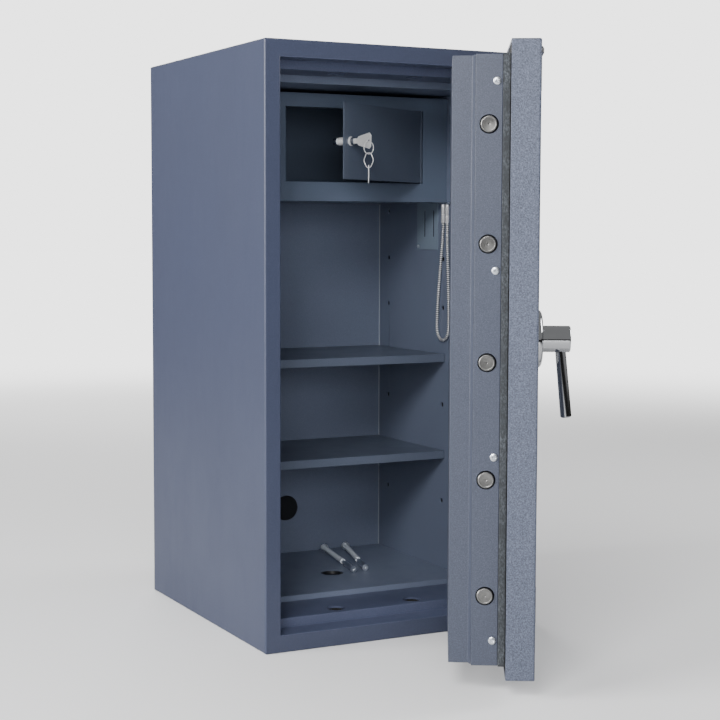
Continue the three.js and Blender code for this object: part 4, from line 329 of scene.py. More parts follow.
class MetalSettings(bpy.types.PropertyGroup):
    chrome: FloatVectorProperty(
        name="Chrome", description="Plated handle, escutcheon and lock plug", subtype="COLOR",
        default=(0.54, 0.55, 0.57))
    bolt_steel: FloatVectorProperty(
        name="Bolt steel", description="Turned bolts and the works that drive them", subtype="COLOR",
        default=(0.27, 0.268, 0.262))
    zinc: FloatVectorProperty(
        name="Zinc", description="Plated screws, bracket and anchor bolts", subtype="COLOR",
        default=(0.78, 0.82, 0.88))
    bright_zinc: FloatVectorProperty(
        name="Bright zinc", description="Sleeves of the anchors and the lock's cam", subtype="COLOR",
        default=(0.88, 0.94, 1.0))
    nickel: FloatVectorProperty(
        name="Nickel", description="Keys and key ring", subtype="COLOR", default=(0.86, 0.86, 0.85))
    conduit: FloatVectorProperty(
        name="Conduit", description="Steel conduit, its ferrules and the inner lock's body",
        subtype="COLOR", default=(0.93, 0.93, 0.94))
    bolt_edge: FloatProperty(
        name="Bolt edge", description="Bevel of a bolt's nose in millimetres", default=1.6, min=0.1)
    recess_depth: FloatProperty(
        name="Cross recess", description="Depth of a screw's recess in millimetres", default=0.9, min=0)
    rib_pitch: FloatProperty(
        name="Rib pitch", description="Distance between the conduit's ribs in millimetres",
        default=4.4, min=1)
    rib_radius: FloatProperty(
        name="Rib radius", description="Radius over the conduit's ribs in millimetres",
        default=3.2, min=1)
    valley_radius: FloatProperty(
        name="Valley radius", description="Radius between the conduit's ribs in millimetres",
        default=2.55, min=1)
    lathe_sides: IntProperty(
        name="Lathe sides", description="Sides on round work", default=96, min=12, max=256)


# Places in the frame
def span(node, placing):
    """Lowest and highest corner of a node in its closed place, in millimetres."""
    back = placing.inverted()
    points = [back @ vertex.co for vertex in frame["nodes"][node].data.vertices]
    low = Vector([min(point[axis] for point in points) for axis in range(3)])
    high = Vector([max(point[axis] for point in points) for axis in range(3)])
    return low, high


def middle(node, placing):
    """Middle of a node's box in its closed place."""
    low, high = span(node, placing)
    return (low + high) / 2


def seat(node, placing, axis):
    """Middle of the low side of a node's box, where axis 0 is X, 1 is Y and 2 is Z."""
    place = middle(node, placing)
    place[axis] = span(node, placing)[0][axis]
    return place


# Node helpers
def add_node(tree, kind, inputs=None, **settings):
    """Adds a node. Values or other sockets go to the inputs by name or number."""
    made = tree.nodes.new(kind)
    for name, value in settings.items():
        setattr(made, name, value)
    for key, value in (inputs or {}).items():
        if isinstance(value, bpy.types.NodeSocket):
            tree.links.new(value, made.inputs[key])
        else:
            made.inputs[key].default_value = value
    return made


def maths(tree, operation, first, second=0.0):
    """The result of one sum between sockets or numbers."""
    return add_node(tree, "ShaderNodeMath", {0: first, 1: second}, operation=operation).outputs[0]


def remapped(tree, value, low, high, to_low=0.0, to_high=1.0):
    """A value that runs from to_low to to_high while the given one runs from low to high."""
    inputs = {"Value": value, "From Min": low, "From Max": high, "To Min": to_low, "To Max": to_high}
    return add_node(tree, "ShaderNodeMapRange", inputs).outputs["Result"]


def noise_of(tree, vector, scale, detail=2.0, roughness=0.5):
    """Cloudy noise in the given coordinates."""
    inputs = {"Vector": vector, "Scale": scale, "Detail": detail, "Roughness": roughness}
    return add_node(tree, "ShaderNodeTexNoise", inputs).outputs["Fac"]


def stretched(tree, vector, scale, rotation=(0.0, 0.0, 0.0)):
    """Coordinates that are turned and stretched."""
    inputs = {"Vector": vector, "Rotation": rotation, "Scale": scale}
    return add_node(tree, "ShaderNodeMapping", inputs).outputs["Vector"]


def effect_group(name, inputs, outputs, build):
    """A shader group that is made once and shared by the materials."""
    tree = bpy.data.node_groups.get(name)
    if tree:
        return tree
    tree = bpy.data.node_groups.new(name, "ShaderNodeTree")
    for label, (kind, default) in inputs.items():
        socket = tree.interface.new_socket(name=label, in_out="INPUT", socket_type=kind)
        if default is not None:
            socket.default_value = default
    for label in outputs:
        tree.interface.new_socket(name=label, in_out="OUTPUT", socket_type="NodeSocketFloat")
    source = tree.nodes.new("NodeGroupInput")
    target = tree.nodes.new("NodeGroupOutput")
    for label, socket in build(tree, source.outputs).items():
        tree.links.new(socket, target.inputs[label])
    return tree


def use_group(tree, group, inputs):
    """Places a shared effect in a material."""
    return add_node(tree, "ShaderNodeGroup", inputs, node_tree=group).outputs


# Shared effects
def powder_coat():
    """Orange peel, fine grain and the slow unevenness of a baked coat."""
    def build(tree, inputs):
        vector = inputs["Vector"]
        peel = noise_of(tree, vector, inputs["Peel Scale"], detail=1.5, roughness=0.45)
        grain = noise_of(tree, vector, inputs["Grain Scale"], detail=2.0, roughness=0.6)
        cloud = noise_of(tree, vector, scale=3.2, detail=3.0, roughness=0.55)
        shared = maths(tree, "MULTIPLY", grain, inputs["Grain Share"])
        return {
            "Height": maths(tree, "ADD", peel, shared),
            "Speck": remapped(tree, grain, 0.52, 0.68),
            "Pit": remapped(tree, grain, 0.48, 0.34),
            "Cloud": remapped(tree, cloud, 0.3, 0.7),
        }

    inputs = {
        "Vector": ("NodeSocketVector", None),
        "Peel Scale": ("NodeSocketFloat", 450.0),
        "Grain Scale": ("NodeSocketFloat", 1400.0),
        "Grain Share": ("NodeSocketFloat", 0.5),
    }
    return effect_group("powder coat", inputs, ["Height", "Speck", "Pit", "Cloud"], build)


def handling_marks():
    """Faint wiping streaks and finger smudges."""
    def build(tree, inputs):
        wiped = stretched(tree, inputs["Vector"], scale=(9.0, 9.0, 2.0))
        streak = noise_of(tree, wiped, scale=2.4, detail=4.0, roughness=0.62)
        smudge = noise_of(tree, inputs["Vector"], scale=11.0, detail=5.0, roughness=0.6)
        streaks, smudges = remapped(tree, streak, 0.38, 0.7), remapped(tree, smudge, 0.35, 0.75)
        return {"Marks": maths(tree, "MULTIPLY", streaks, smudges)}

    return effect_group("handling marks", {"Vector": ("NodeSocketVector", None)}, ["Marks"], build)


def turning_marks():
    """Rings that a lathe tool leaves, running along the profile of a turned piece."""
    def build(tree, inputs):
        apart = add_node(tree, "ShaderNodeSeparateXYZ", {"Vector": inputs["Profile"]})
        line = add_node(tree, "ShaderNodeCombineXYZ", {"X": apart.outputs["Y"], "Y": 0.0, "Z": 0.0})
        rings = noise_of(tree, line.outputs["Vector"], inputs["Pitch Scale"], detail=3.0, roughness=0.7)
        around = stretched(tree, inputs["Profile"], scale=(3.0, 1.2, 1.0))
        patch = noise_of(tree, around, scale=1.5, detail=3.0, roughness=0.6)
        return {"Height": rings, "Wear": remapped(tree, patch, 0.35, 0.7)}

    inputs = {"Profile": ("NodeSocketVector", None), "Pitch Scale": ("NodeSocketFloat", 3.0)}
    return effect_group("turning marks", inputs, ["Height", "Wear"], build)


def fine_scratches():
    """Short polishing scratches in two directions."""
    def build(tree, inputs):
        along = stretched(tree, inputs["Vector"], (60.0, 900.0, 900.0), rotation=(0.3, 0.2, 0.9))
        askew = stretched(tree, inputs["Vector"], (900.0, 60.0, 900.0), rotation=(-0.5, 0.7, -0.4))
        one = noise_of(tree, along, scale=1.0, detail=2.0, roughness=0.6)
        other = noise_of(tree, askew, scale=1.0, detail=2.0, roughness=0.6)
        height = maths(tree, "MAXIMUM", one, other)
        return {"Height": height, "Scratch": remapped(tree, height, 0.62, 0.8)}

    inputs = {"Vector": ("NodeSocketVector", None)}
    return effect_group("fine scratches", inputs, ["Height", "Scratch"], build)


# Materials
def new_material(name):
    """An empty material with its shader, and the coordinates that it reads."""
    material = bpy.data.materials.new(name)
    material.use_nodes = True
    tree = material.node_tree
    tree.nodes.clear()
    shader = tree.nodes.new("ShaderNodeBsdfPrincipled")
    output = tree.nodes.new("ShaderNodeOutputMaterial")
    tree.links.new(shader.outputs["BSDF"], output.inputs["Surface"])
    place = tree.nodes.new("ShaderNodeTexCoord")
    return material, tree, shader, place


def blended(tree, mask, first, second, **settings):
    """A colour that goes from the first to the second where the mask is set."""
    mix = add_node(tree, "ShaderNodeMix", {"Factor": mask}, data_type="RGBA", **settings)
    for socket, colour in ((mix.inputs["A"], first), (mix.inputs["B"], second)):
        if isinstance(colour, bpy.types.NodeSocket):
            tree.links.new(colour, socket)
        else:
            socket.default_value = (*colour, 1)
    return mix.outputs["Result"]


def tinted(tree, colour, mask, factor):
    """A colour made lighter or darker where the mask is set."""
    return blended(tree, mask, colour, [min(1.0, channel * factor) for channel in colour])


def darkened(tree, colour, mask, factor):
    """A colour socket multiplied by the factor where the mask is set."""
    return blended(tree, mask, colour, (factor, factor, factor), blend_type="MULTIPLY")


def bumped(tree, shader, height, strength, distance):
    """Fine relief from a height."""
    inputs = {"Height": height, "Strength": strength, "Distance": distance}
    bump = add_node(tree, "ShaderNodeBump", inputs)
    tree.links.new(bump.outputs["Normal"], shader.inputs["Normal"])


def dulled(tree, shader, spread, marks, most):
    """Roughness from a spread, with up to the most added where the marks are."""
    added = remapped(tree, marks, 0.0, 1.0, 0.0, most)
    tree.links.new(maths(tree, "ADD", spread, added), shader.inputs["Roughness"])


def coat_material(
        name, colour, roughness, peel=450.0, grain=1400.0, share=0.5, depth=0.00012, specks=1.25,
        sheen=0.0):
    """A baked powder coat. Specks is how much lighter its grain shows."""
    pit_share = 0.6
    cloud_shade = 0.93
    cloud_spread = 0.03
    smudge = 0.09
    sheen_roughness = 0.22
    material, tree, shader, place = new_material(name)
    coat = use_group(tree, powder_coat(), {
        "Vector": place.outputs["Object"], "Peel Scale": peel, "Grain Scale": grain,
        "Grain Share": share})
    marks = use_group(tree, handling_marks(), {"Vector": place.outputs["Object"]})
    flecked = tinted(tree, colour, coat["Speck"], specks)
    pitted = darkened(tree, flecked, coat["Pit"], 1 - (specks - 1) * pit_share)
    shaded = darkened(tree, pitted, coat["Cloud"], cloud_shade)
    tree.links.new(shaded, shader.inputs["Base Color"])
    spread = remapped(
        tree, coat["Cloud"], 0.0, 1.0, roughness - cloud_spread, roughness + cloud_spread)
    dulled(tree, shader, spread, marks["Marks"], smudge)
    shader.inputs["Coat Weight"].default_value = sheen
    shader.inputs["Coat Roughness"].default_value = sheen_roughness
    bumped(tree, shader, coat["Height"], strength=0.5, distance=depth)
    return material


def metal_material(
        name, colour, roughness, scratch=0.06, smudge=0.05, depth=0.00002, metallic=1.0):
    """A plated or polished metal with fine scratches and smudges."""
    material, tree, shader, place = new_material(name)
    scratches = use_group(tree, fine_scratches(), {"Vector": place.outputs["Object"]})
    marks = use_group(tree, handling_marks(), {"Vector": place.outputs["Object"]})
    shown = tinted(tree, colour, marks["Marks"], factor=0.88)
    tree.links.new(shown, shader.inputs["Base Color"])
    spread = remapped(tree, scratches["Scratch"], 0.0, 1.0, roughness, roughness + scratch)
    dulled(tree, shader, spread, marks["Marks"], smudge)
    shader.inputs["Metallic"].default_value = metallic
    bumped(tree, shader, scratches["Height"], strength=0.25, distance=depth)
    return material


def hose_material(name, colour, roughness):
    """Wound steel strip, with painted shade darkening it between its ribs."""
    material = metal_material(name, colour, roughness, scratch=0.08, smudge=0.06, metallic=0.55)
    tree = material.node_tree
    shader = tree.nodes["Principled BSDF"]
    # painted shade between the ribs
    hollow = add_node(tree, "ShaderNodeAttribute", attribute_name="hollow").outputs["Fac"]
    shown = shader.inputs["Base Color"].links[0].from_socket
    tree.links.new(darkened(tree, shown, hollow, factor=0.06), shader.inputs["Base Color"])
    return material


def turned_material(name, colour, roughness, pitch=3.0, depth=0.00006):
    """Bare steel from the lathe, with rings along the profile."""
    material, tree, shader, place = new_material(name)
    rings = use_group(tree, turning_marks(), {"Profile": place.outputs["UV"], "Pitch Scale": pitch})
    shown = tinted(tree, colour, rings["Wear"], factor=0.78)
    tree.links.new(shown, shader.inputs["Base Color"])
    spread = remapped(tree, rings["Height"], 0.3, 0.7, roughness - 0.06, roughness + 0.08)
    dulled(tree, shader, spread, rings["Wear"], most=0.1)
    shader.inputs["Metallic"].default_value = 1.0
    bumped(tree, shader, rings["Height"], strength=0.4, distance=depth)
    return material


def seal_material(name, colour):
    """A pressed fibre seal: dark, dull and mottled with paler fibres."""
    material, tree, shader, place = new_material(name)
    fibre = stretched(tree, place.outputs["Object"], scale=(1.0, 1.0, 0.55))
    mottle = noise_of(tree, fibre, scale=380.0, detail=4.0, roughness=0.65)
    patch = noise_of(tree, place.outputs["Object"], scale=24.0, detail=4.0, roughness=0.6)
    fibres, patches = remapped(tree, mottle, 0.44, 0.62), remapped(tree, patch, 0.25, 0.7)
    pale = maths(tree, "MULTIPLY", fibres, patches)
    tree.links.new(tinted(tree, colour, pale, factor=4.2), shader.inputs["Base Color"])
    tree.links.new(remapped(tree, mottle, 0.3, 0.7, 0.72, 0.95), shader.inputs["Roughness"])
    bumped(tree, shader, mottle, strength=0.7, distance=0.0006)
    return material


def fill_and_shade_material(name, colour):
    """Fire-resisting fill, seen only in the depth of the bolt sockets. Its near-black colour is the
    fill's own dark tone together with painted shade for the depth of the sockets.
    """
    material, tree, shader, place = new_material(name)
    crumb = noise_of(tree, place.outputs["Object"], scale=160.0, detail=6.0, roughness=0.7)
    shown = tinted(tree, colour, remapped(tree, crumb, 0.35, 0.7), factor=1.7)
    tree.links.new(shown, shader.inputs["Base Color"])
    tree.links.new(remapped(tree, crumb, 0.3, 0.7, 0.82, 0.98), shader.inputs["Roughness"])
    bumped(tree, shader, crumb, strength=0.8, distance=0.001)
    return material


def plastic_material(name, colour):
    """Moulded black plastic with a spark-eroded grain."""
    material, tree, shader, place = new_material(name)
    grain = noise_of(tree, place.outputs["Object"], scale=1600.0, detail=2.0, roughness=0.6)
    dust = noise_of(tree, place.outputs["Object"], scale=30.0, detail=5.0, roughness=0.65)
    shown = tinted(tree, colour, remapped(tree, dust, 0.5, 0.8), factor=1.5)
    tree.links.new(shown, shader.inputs["Base Color"])
    tree.links.new(remapped(tree, dust, 0.3, 0.7, 0.38, 0.5), shader.inputs["Roughness"])
    bumped(tree, shader, grain, strength=0.4, distance=0.00008)
    return material


def studio_material(name, colour, reach, backdrop, bounce):
    """The pale floor: matt near the safe, and as bright as the backdrop far away from it."""
    fade_start = 0.35
    roughness = 0.85
    gloss = 0.2
    material, tree, shader, place = new_material(name)
    cloud = noise_of(tree, place.outputs["Object"], scale=0.6, detail=3.0, roughness=0.5)
    away = add_node(tree, "ShaderNodeVectorMath", {0: place.outputs["Object"]}, operation="LENGTH")
    far = remapped(tree, away.outputs["Value"], reach * fade_start, reach)
    far.node.interpolation_type = "SMOOTHERSTEP"
    near = tinted(tree, colour, remapped(tree, cloud, 0.3, 0.7), factor=0.985)
    seen = tree.nodes.new("ShaderNodeLightPath").outputs["Is Camera Ray"]
    shown = darkened(tree, near, maths(tree, "SUBTRACT", 1.0, seen), bounce)
    tree.links.new(darkened(tree, shown, far, factor=0.0), shader.inputs["Base Color"])
    glow = blended(tree, maths(tree, "MULTIPLY", far, seen), (0, 0, 0), (1, 1, 1))
    tree.links.new(glow, shader.inputs["Emission Color"])
    shader.inputs["Emission Strength"].default_value = backdrop
    shader.inputs["Roughness"].default_value = roughness
    shader.inputs["Specular IOR Level"].default_value = gloss
    return material


def finish(kind):
    """The material of one kind of surface, made when it is first asked for."""
    name = kind.replace("_", " ") + " finish"
    found = bpy.data.materials.get(name)
    if found:
        return found
    coats = bpy.context.scene.safe_coats
    metals = bpy.context.scene.safe_metals
    sprayed = {"grain": 520.0, "specks": 1.16}
    satin = {"peel": 260.0, "grain": 600.0, "share": 0.25, "depth": 0.00006}
    recipes = {
        "body_paint": (coat_material, coats.outside, {"roughness": 0.5, "sheen": 0.06, **sprayed}),
        "frame_paint": (coat_material, coats.outside, {"roughness": 0.4, "sheen": 0.12, **sprayed}),
        # painted light: the steps behind the rim get a lighter copy of the casing's coat
        "ledge_paint": (coat_material, coats.ledge, {"roughness": 0.4, "sheen": 0.12, **sprayed}),
        "door_paint": (coat_material, coats.door, {
            "roughness": 0.56, "peel": 330.0, "grain": 430.0, "share": 1.2, "depth": 0.0004,
            "specks": 1.7}),
        "housing_paint": (coat_material, coats.housing, {
            "roughness": 0.46, "peel": 380.0, "grain": 520.0, "share": 0.8, "depth": 0.00022,
            "specks": 1.35, "sheen": 0.08}),
        "interior_paint": (coat_material, coats.inside, {
            "roughness": 0.36, "specks": 1.12, "sheen": 0.12, **satin}),
        "shelf_paint": (coat_material, coats.shelf, {
            "roughness": 0.38, "specks": 1.12, "sheen": 0.12, **satin}),
        "locker_paint": (coat_material, coats.locker, {
            "roughness": 0.42, "specks": 1.1, "sheen": 0.1, **satin}),
        # painted shade: the locker's coat made darker for its door
        "leaf_paint": (coat_material, coats.leaf, {
            "roughness": 0.42, "specks": 1.1, "sheen": 0.1, **satin}),
        "plate_paint": (coat_material, coats.plate, {
            "roughness": 0.4, "specks": 1.1, "sheen": 0.12, **satin}),
        "seam": (coat_material, coats.seam, {"roughness": 0.4, "specks": 1.05, "depth": 0.00004}),
        "chrome": (metal_material, metals.chrome, {
            "roughness": 0.06, "scratch": 0.05, "smudge": 0.04}),
        "mechanism_steel": (metal_material, metals.bolt_steel, {
            "roughness": 0.38, "scratch": 0.1, "smudge": 0.12}),
        "zinc": (metal_material, metals.zinc, {"roughness": 0.3, "scratch": 0.1, "smudge": 0.08}),
        "bright_zinc": (metal_material, metals.bright_zinc, {
            "roughness": 0.18, "scratch": 0.08, "smudge": 0.06, "metallic": 0.2}),
        "ferrule": (metal_material, metals.conduit, {
            "roughness": 0.24, "scratch": 0.06, "smudge": 0.05, "metallic": 0.55}),
        "key_nickel": (metal_material, metals.nickel, {
            "roughness": 0.32, "scratch": 0.16, "smudge": 0.08, "depth": 0.00005,
            "metallic": 0.62}),
        "hose_steel": (hose_material, metals.conduit, {"roughness": 0.3}),
        "bolt_steel": (turned_material, metals.bolt_steel, {"roughness": 0.3}),
        "seal": (seal_material, coats.seal, {}),
        "fill": (fill_and_shade_material, coats.fill, {}),
        # painted shade: the dark strips behind the plate's slots
        "shade": (plastic_material, coats.shade, {}),
        "black_plastic": (plastic_material, coats.plastic, {}),
    }
    maker, colour, values = recipes[kind]
    return maker(name, colour, **values)


# Mesh helpers
def add_object(name, mesh):
    """An object for a mesh, a lamp or a camera, linked to the scene."""
    made = bpy.data.objects.new(name, mesh)
    bpy.context.scene.collection.objects.link(made)
    return made


def stand_in(piece, material, slot, body, *nodes):
    """Gives a piece its finish and its body, and lets it stand for its nodes."""
    piece.data.materials.clear()
    piece.data.materials.append(finish(material))
    if nodes:
        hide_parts(*nodes)
    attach(piece, body)
    return piece


def recoat(node, material):
    """Gives its finish to a node that is shown as it is."""
    materials = frame["nodes"][node].data.materials
    materials.clear()
    materials.append(finish(material))


def mesh_from(name, work, sharp=32):
    """Turns finished mesh work into a mesh with smooth faces and crisp edges."""
    bmesh.ops.recalc_face_normals(work, faces=work.faces)
    mesh = bpy.data.meshes.new(name)
    work.to_mesh(mesh)
    work.free()
    inherited = mesh.attributes.get("custom_normal")
    if inherited:
        mesh.attributes.remove(inherited)
    mesh.polygons.foreach_set("use_smooth", [True] * len(mesh.polygons))
    mesh.set_sharp_from_angle(angle=radians(sharp))
    return mesh


def made_of(name, work, sharp=32):
    """Turns finished mesh work into an object."""
    return add_object(name, mesh_from(name, work, sharp))


def merged_work(node):
    """A node's mesh with its doubled corners merged."""
    work = bmesh.new()
    work.from_mesh(frame["nodes"][node].data)
    bmesh.ops.remove_doubles(work, verts=work.verts, dist=MERGE_REACH)
    return work


def folded_copy(node, name, radius, segments=3, shortest=0.006):
    """A copy whose long edges are eased, as folding and grinding leave them. Rims of holes stay crisp."""
    work = merged_work(node)
    weight = work.edges.layers.float.new("bevel_weight_edge")
    for edge in work.edges:
        turns = len(edge.link_faces) == 2 and edge.calc_face_angle() > radians(FOLD_ANGLE)
        edge[weight] = 1.0 if turns and edge.calc_length() > shortest else 0.0
    made = made_of(name, work)
    ease = made.modifiers.new("eased edges", "BEVEL")
    ease.width = radius
    ease.segments = segments
    ease.limit_method = "WEIGHT"
    ease.use_clamp_overlap = False
    level = made.modifiers.new("level faces", "WEIGHTED_NORMAL")
    level.weight = 100
    level.keep_sharp = True
    return made


def eased_piece(node, name, coat, slot, body, radius, segments=3):
    """Lets a copy with eased edges stand for its node, in its coat and on its body."""
    return stand_in(folded_copy(node, name, radius, segments), coat, slot, body, node)


def eased(profile, radius, steps=3, longest=0.45):
    """Rounds the corners of a lathe profile, apart from its two ends."""
    points = [Vector(point) for point in profile]
    result = [points[0]]
    for before, corner, after in zip(points, points[1:], points[2:]):
        back, on = before - corner, after - corner
        reach = min(radius, back.length * longest, on.length * longest)
        start, end = corner + back.normalized() * reach, corner + on.normalized() * reach
        for step in range(steps + 1):
            share = step / steps
            result.append(start.lerp(corner, share).lerp(corner.lerp(end, share), share))
    result.append(points[-1])
    return [tuple(point) for point in result]


def directions_round(axis):
    """A unit axis and two unit directions square to it."""
    along = Vector(axis).normalized()
    across = along.orthogonal().normalized()
    return along, across, along.cross(across)


def lathe_into(work, profile, start, axis, placing, sides):
    """Adds a turned body to the mesh work. The profile holds (radius, distance along the axis)."""
    turning = work.loops.layers.uv.get("turning") or work.loops.layers.uv.new("turning")
    axis, across, upward = directions_round(axis)
    run = [0.0]
    for near, far in zip(profile, profile[1:]):
        run.append(run[-1] + hypot(far[0] - near[0], far[1] - near[1]))
    rings = []
    for radius, along in profile:
        centre = Vector(start) + axis * along
        ring = []
        for step in range(sides if radius > 0 else 1):
            angle = 2 * pi * step / sides
            spoke = across * cos(angle) + upward * sin(angle)
            ring.append(work.verts.new(placing @ (centre + spoke * radius)))
        rings.append(ring)
    for index, (near, far) in enumerate(zip(rings, rings[1:])):
        for step in range(sides):
            after = (step + 1) % sides
            corners = [(near[step % len(near)], step, index)]
            if len(near) > 1:
                corners.append((near[after], step + 1, index))
            corners.append((far[after % len(far)], step + 1, index + 1))
            if len(far) > 1:
                corners.append((far[step], step, index + 1))
            if len(corners) < 3:
                continue
            face = work.faces.new([corner[0] for corner in corners])
            for loop, (_, turn_step, place) in zip(face.loops, corners):
                loop[turning].uv = (turn_step / sides, run[place] * TURNING_UV_SCALE)


def turned_piece(name, profile, start, axis, placing, sides):
    """One turned piece as an object of its own."""
    work = bmesh.new()
    lathe_into(work, profile, start, axis, placing, sides)
    return made_of(name, work)


def screw_head_into(work, radius, height, start, axis, placing, depth, sides=96, rings=22):
    """A domed screw head with a cross recess, drawn as rings whose height follows a formula."""
    axis, across, upward = directions_round(axis)
    dome_fall, dome_power = 0.42, 2.6
    arm_half, arm_slope = radius * 0.1, radius * 0.07
    arm_length = radius * 0.46
    end_start, end_slope = arm_length * 0.8, arm_length * 0.28

    def rise(x, y):
        dome = height * (1 - dome_fall * (hypot(x, y) / radius) ** dome_power)
        slim = max(0.0, 1 - max(0.0, min(abs(x), abs(y)) - arm_half) / arm_slope)
        short = max(0.0, 1 - max(0.0, max(abs(x), abs(y)) - end_start) / end_slope)
        return dome - depth * min(1.0, slim) * min(1.0, short)

    grid = [[work.verts.new(placing @ (Vector(start) + axis * rise(0, 0)))]]
    turns = [2 * pi * step / sides for step in range(sides)]
    for ring in range(1, rings + 1):
        spread = radius * ring / rings
        row = []
        for turn in turns:
            x, y = spread * cos(turn), spread * sin(turn)
            place = Vector(start) + across * x + upward * y + axis * rise(x, y)
            row.append(work.verts.new(placing @ place))
        grid.append(row)
    spokes = [across * cos(turn) + upward * sin(turn) for turn in turns]
    grid.append([work.verts.new(placing @ (Vector(start) + spoke * radius)) for spoke in spokes])
    for near, far in zip(grid, grid[1:]):
        for step in range(sides):
            after = (step + 1) % sides
            if len(near) == 1:
                work.faces.new([near[0], far[step], far[after]])
            else:
                work.faces.new([near[step], far[step], far[after], near[after]])
    work.faces.new(list(reversed(grid[-1])))


def strip_into(work, first, second):
    """Adds a closed strip of the cabinet between two outlines with as many points each."""
    rows = [[work.verts.new(CABINET @ Vector(point)) for point in outline]
            for outline in (first, second)]
    count = len(first)
    for index in range(count):
        after = (index + 1) % count
        work.faces.new([rows[0][index], rows[0][after], rows[1][after], rows[1][index]])
    work.faces.new(rows[0])
    work.faces.new(rows[1])


# Geometry Nodes
def tree_with(name, inputs):
    """A geometry tree with its named inputs and one geometry output."""
    tree = bpy.data.node_groups.new(name, "GeometryNodeTree")
    geometry = "NodeSocketGeometry"
    tree.interface.new_socket(name="Geometry", in_out="INPUT", socket_type=geometry)
    for label, kind in inputs.items():
        tree.interface.new_socket(name=label, in_out="INPUT", socket_type=kind)
    tree.interface.new_socket(name="Geometry", in_out="OUTPUT", socket_type=geometry)
    source = tree.nodes.new("NodeGroupInput")
    target = tree.nodes.new("NodeGroupOutput")
    return tree, source.outputs, target.inputs


def realised(tree, geometry, material, target):
    """Ends a tree with real faces in their finish."""
    real = add_node(tree, "GeometryNodeRealizeInstances", {"Geometry": geometry})
    done = add_node(tree, "GeometryNodeSetMaterial", {
        "Geometry": real.outputs["Geometry"], "Material": material})
    tree.links.new(done.outputs["Geometry"], target["Geometry"])
    return tree


def row_tree():
    """Repeats one piece in a straight row of equal steps."""
    name = "row of like pieces"
    tree = bpy.data.node_groups.get(name)
    if tree:
        return tree
    inputs = {"Count": "NodeSocketInt", "Step": "NodeSocketVector", "Finish": "NodeSocketMaterial"}
    tree, source, target = tree_with(name, inputs)
    steps = {"Count": source["Count"], "Offset": source["Step"]}
    line = add_node(tree, "GeometryNodeMeshLine", steps, mode="OFFSET")
    placed = add_node(tree, "GeometryNodeInstanceOnPoints", {
        "Points": line.outputs["Mesh"], "Instance": source["Geometry"]})
    return realised(tree, placed.outputs["Instances"], source["Finish"], target)


def ribbed_tree():
    """Sweeps a ribbed skin along a route, one rib at each pitch."""
    inputs = {
        "Pitch": "NodeSocketFloat", "Rib Radius": "NodeSocketFloat",
        "Valley Radius": "NodeSocketFloat", "Samples": "NodeSocketInt", "Sides": "NodeSocketInt",
        "Finish": "NodeSocketMaterial",
    }
    tree, source, target = tree_with("ribbed conduit", inputs)
    route = add_node(tree, "GeometryNodeMeshToCurve", {"Mesh": source["Geometry"]})
    dense = add_node(tree, "GeometryNodeResampleCurve", {
        "Curve": route.outputs["Curve"], "Count": source["Samples"]})
    along = tree.nodes.new("GeometryNodeSplineParameter").outputs["Length"]
    phase = maths(tree, "FRACT", maths(tree, "DIVIDE", along, source["Pitch"]))
    off_middle = maths(tree, "ABSOLUTE", maths(tree, "SUBTRACT", phase, 0.5))
    radius = remapped(
        tree, off_middle, RIB_FOOT, RIB_SHOULDER, source["Valley Radius"], source["Rib Radius"])
    radius.node.interpolation_type = "SMOOTHSTEP"
    # painted shade: marks the valleys between the ribs, which the material darkens
    hollow = remapped(tree, off_middle, VALLEY_SHADE_EDGE, VALLEY_SHADE_FLOOR)
    marked = add_node(
        tree, "GeometryNodeStoreNamedAttribute",
        {"Geometry": dense.outputs["Curve"], "Name": "hollow", "Value": hollow},
        data_type="FLOAT", domain="POINT")
    circle = add_node(tree, "GeometryNodeCurvePrimitiveCircle", {
        "Resolution": source["Sides"], "Radius": 1.0})
    sweep = add_node(tree, "GeometryNodeCurveToMesh", {
        "Curve": marked.outputs["Geometry"], "Profile Curve": circle.outputs["Curve"],
        "Scale": radius, "Fill Caps": True})
    return realised(tree, sweep.outputs["Mesh"], source["Finish"], target)


def grown_by(piece, tree, values):
    """Runs a geometry tree on a piece and leaves the result as its plain mesh."""
    nodes = piece.modifiers.new(tree.name, "NODES")
    nodes.node_group = tree
    for item in tree.interface.items_tree:
        if item.item_type == "SOCKET" and item.in_out == "INPUT" and item.name in values:
            nodes[item.identifier] = values[item.name]
    bpy.context.view_layer.update()
    evaluated = piece.evaluated_get(bpy.context.evaluated_depsgraph_get())
    mesh = bpy.data.meshes.new_from_object(evaluated)
    piece.modifiers.remove(nodes)
    old = piece.data
    piece.data = mesh
    bpy.data.meshes.remove(old)
    return piece


def row_of(piece, count, step, placing, material):
    """Repeats a piece count times. The step is in millimetres in the closed place."""
    shift = placing.to_3x3() @ Vector(step)
    values = {"Count": count, "Step": tuple(shift), "Finish": finish(material)}
    return grown_by(piece, row_tree(), values)


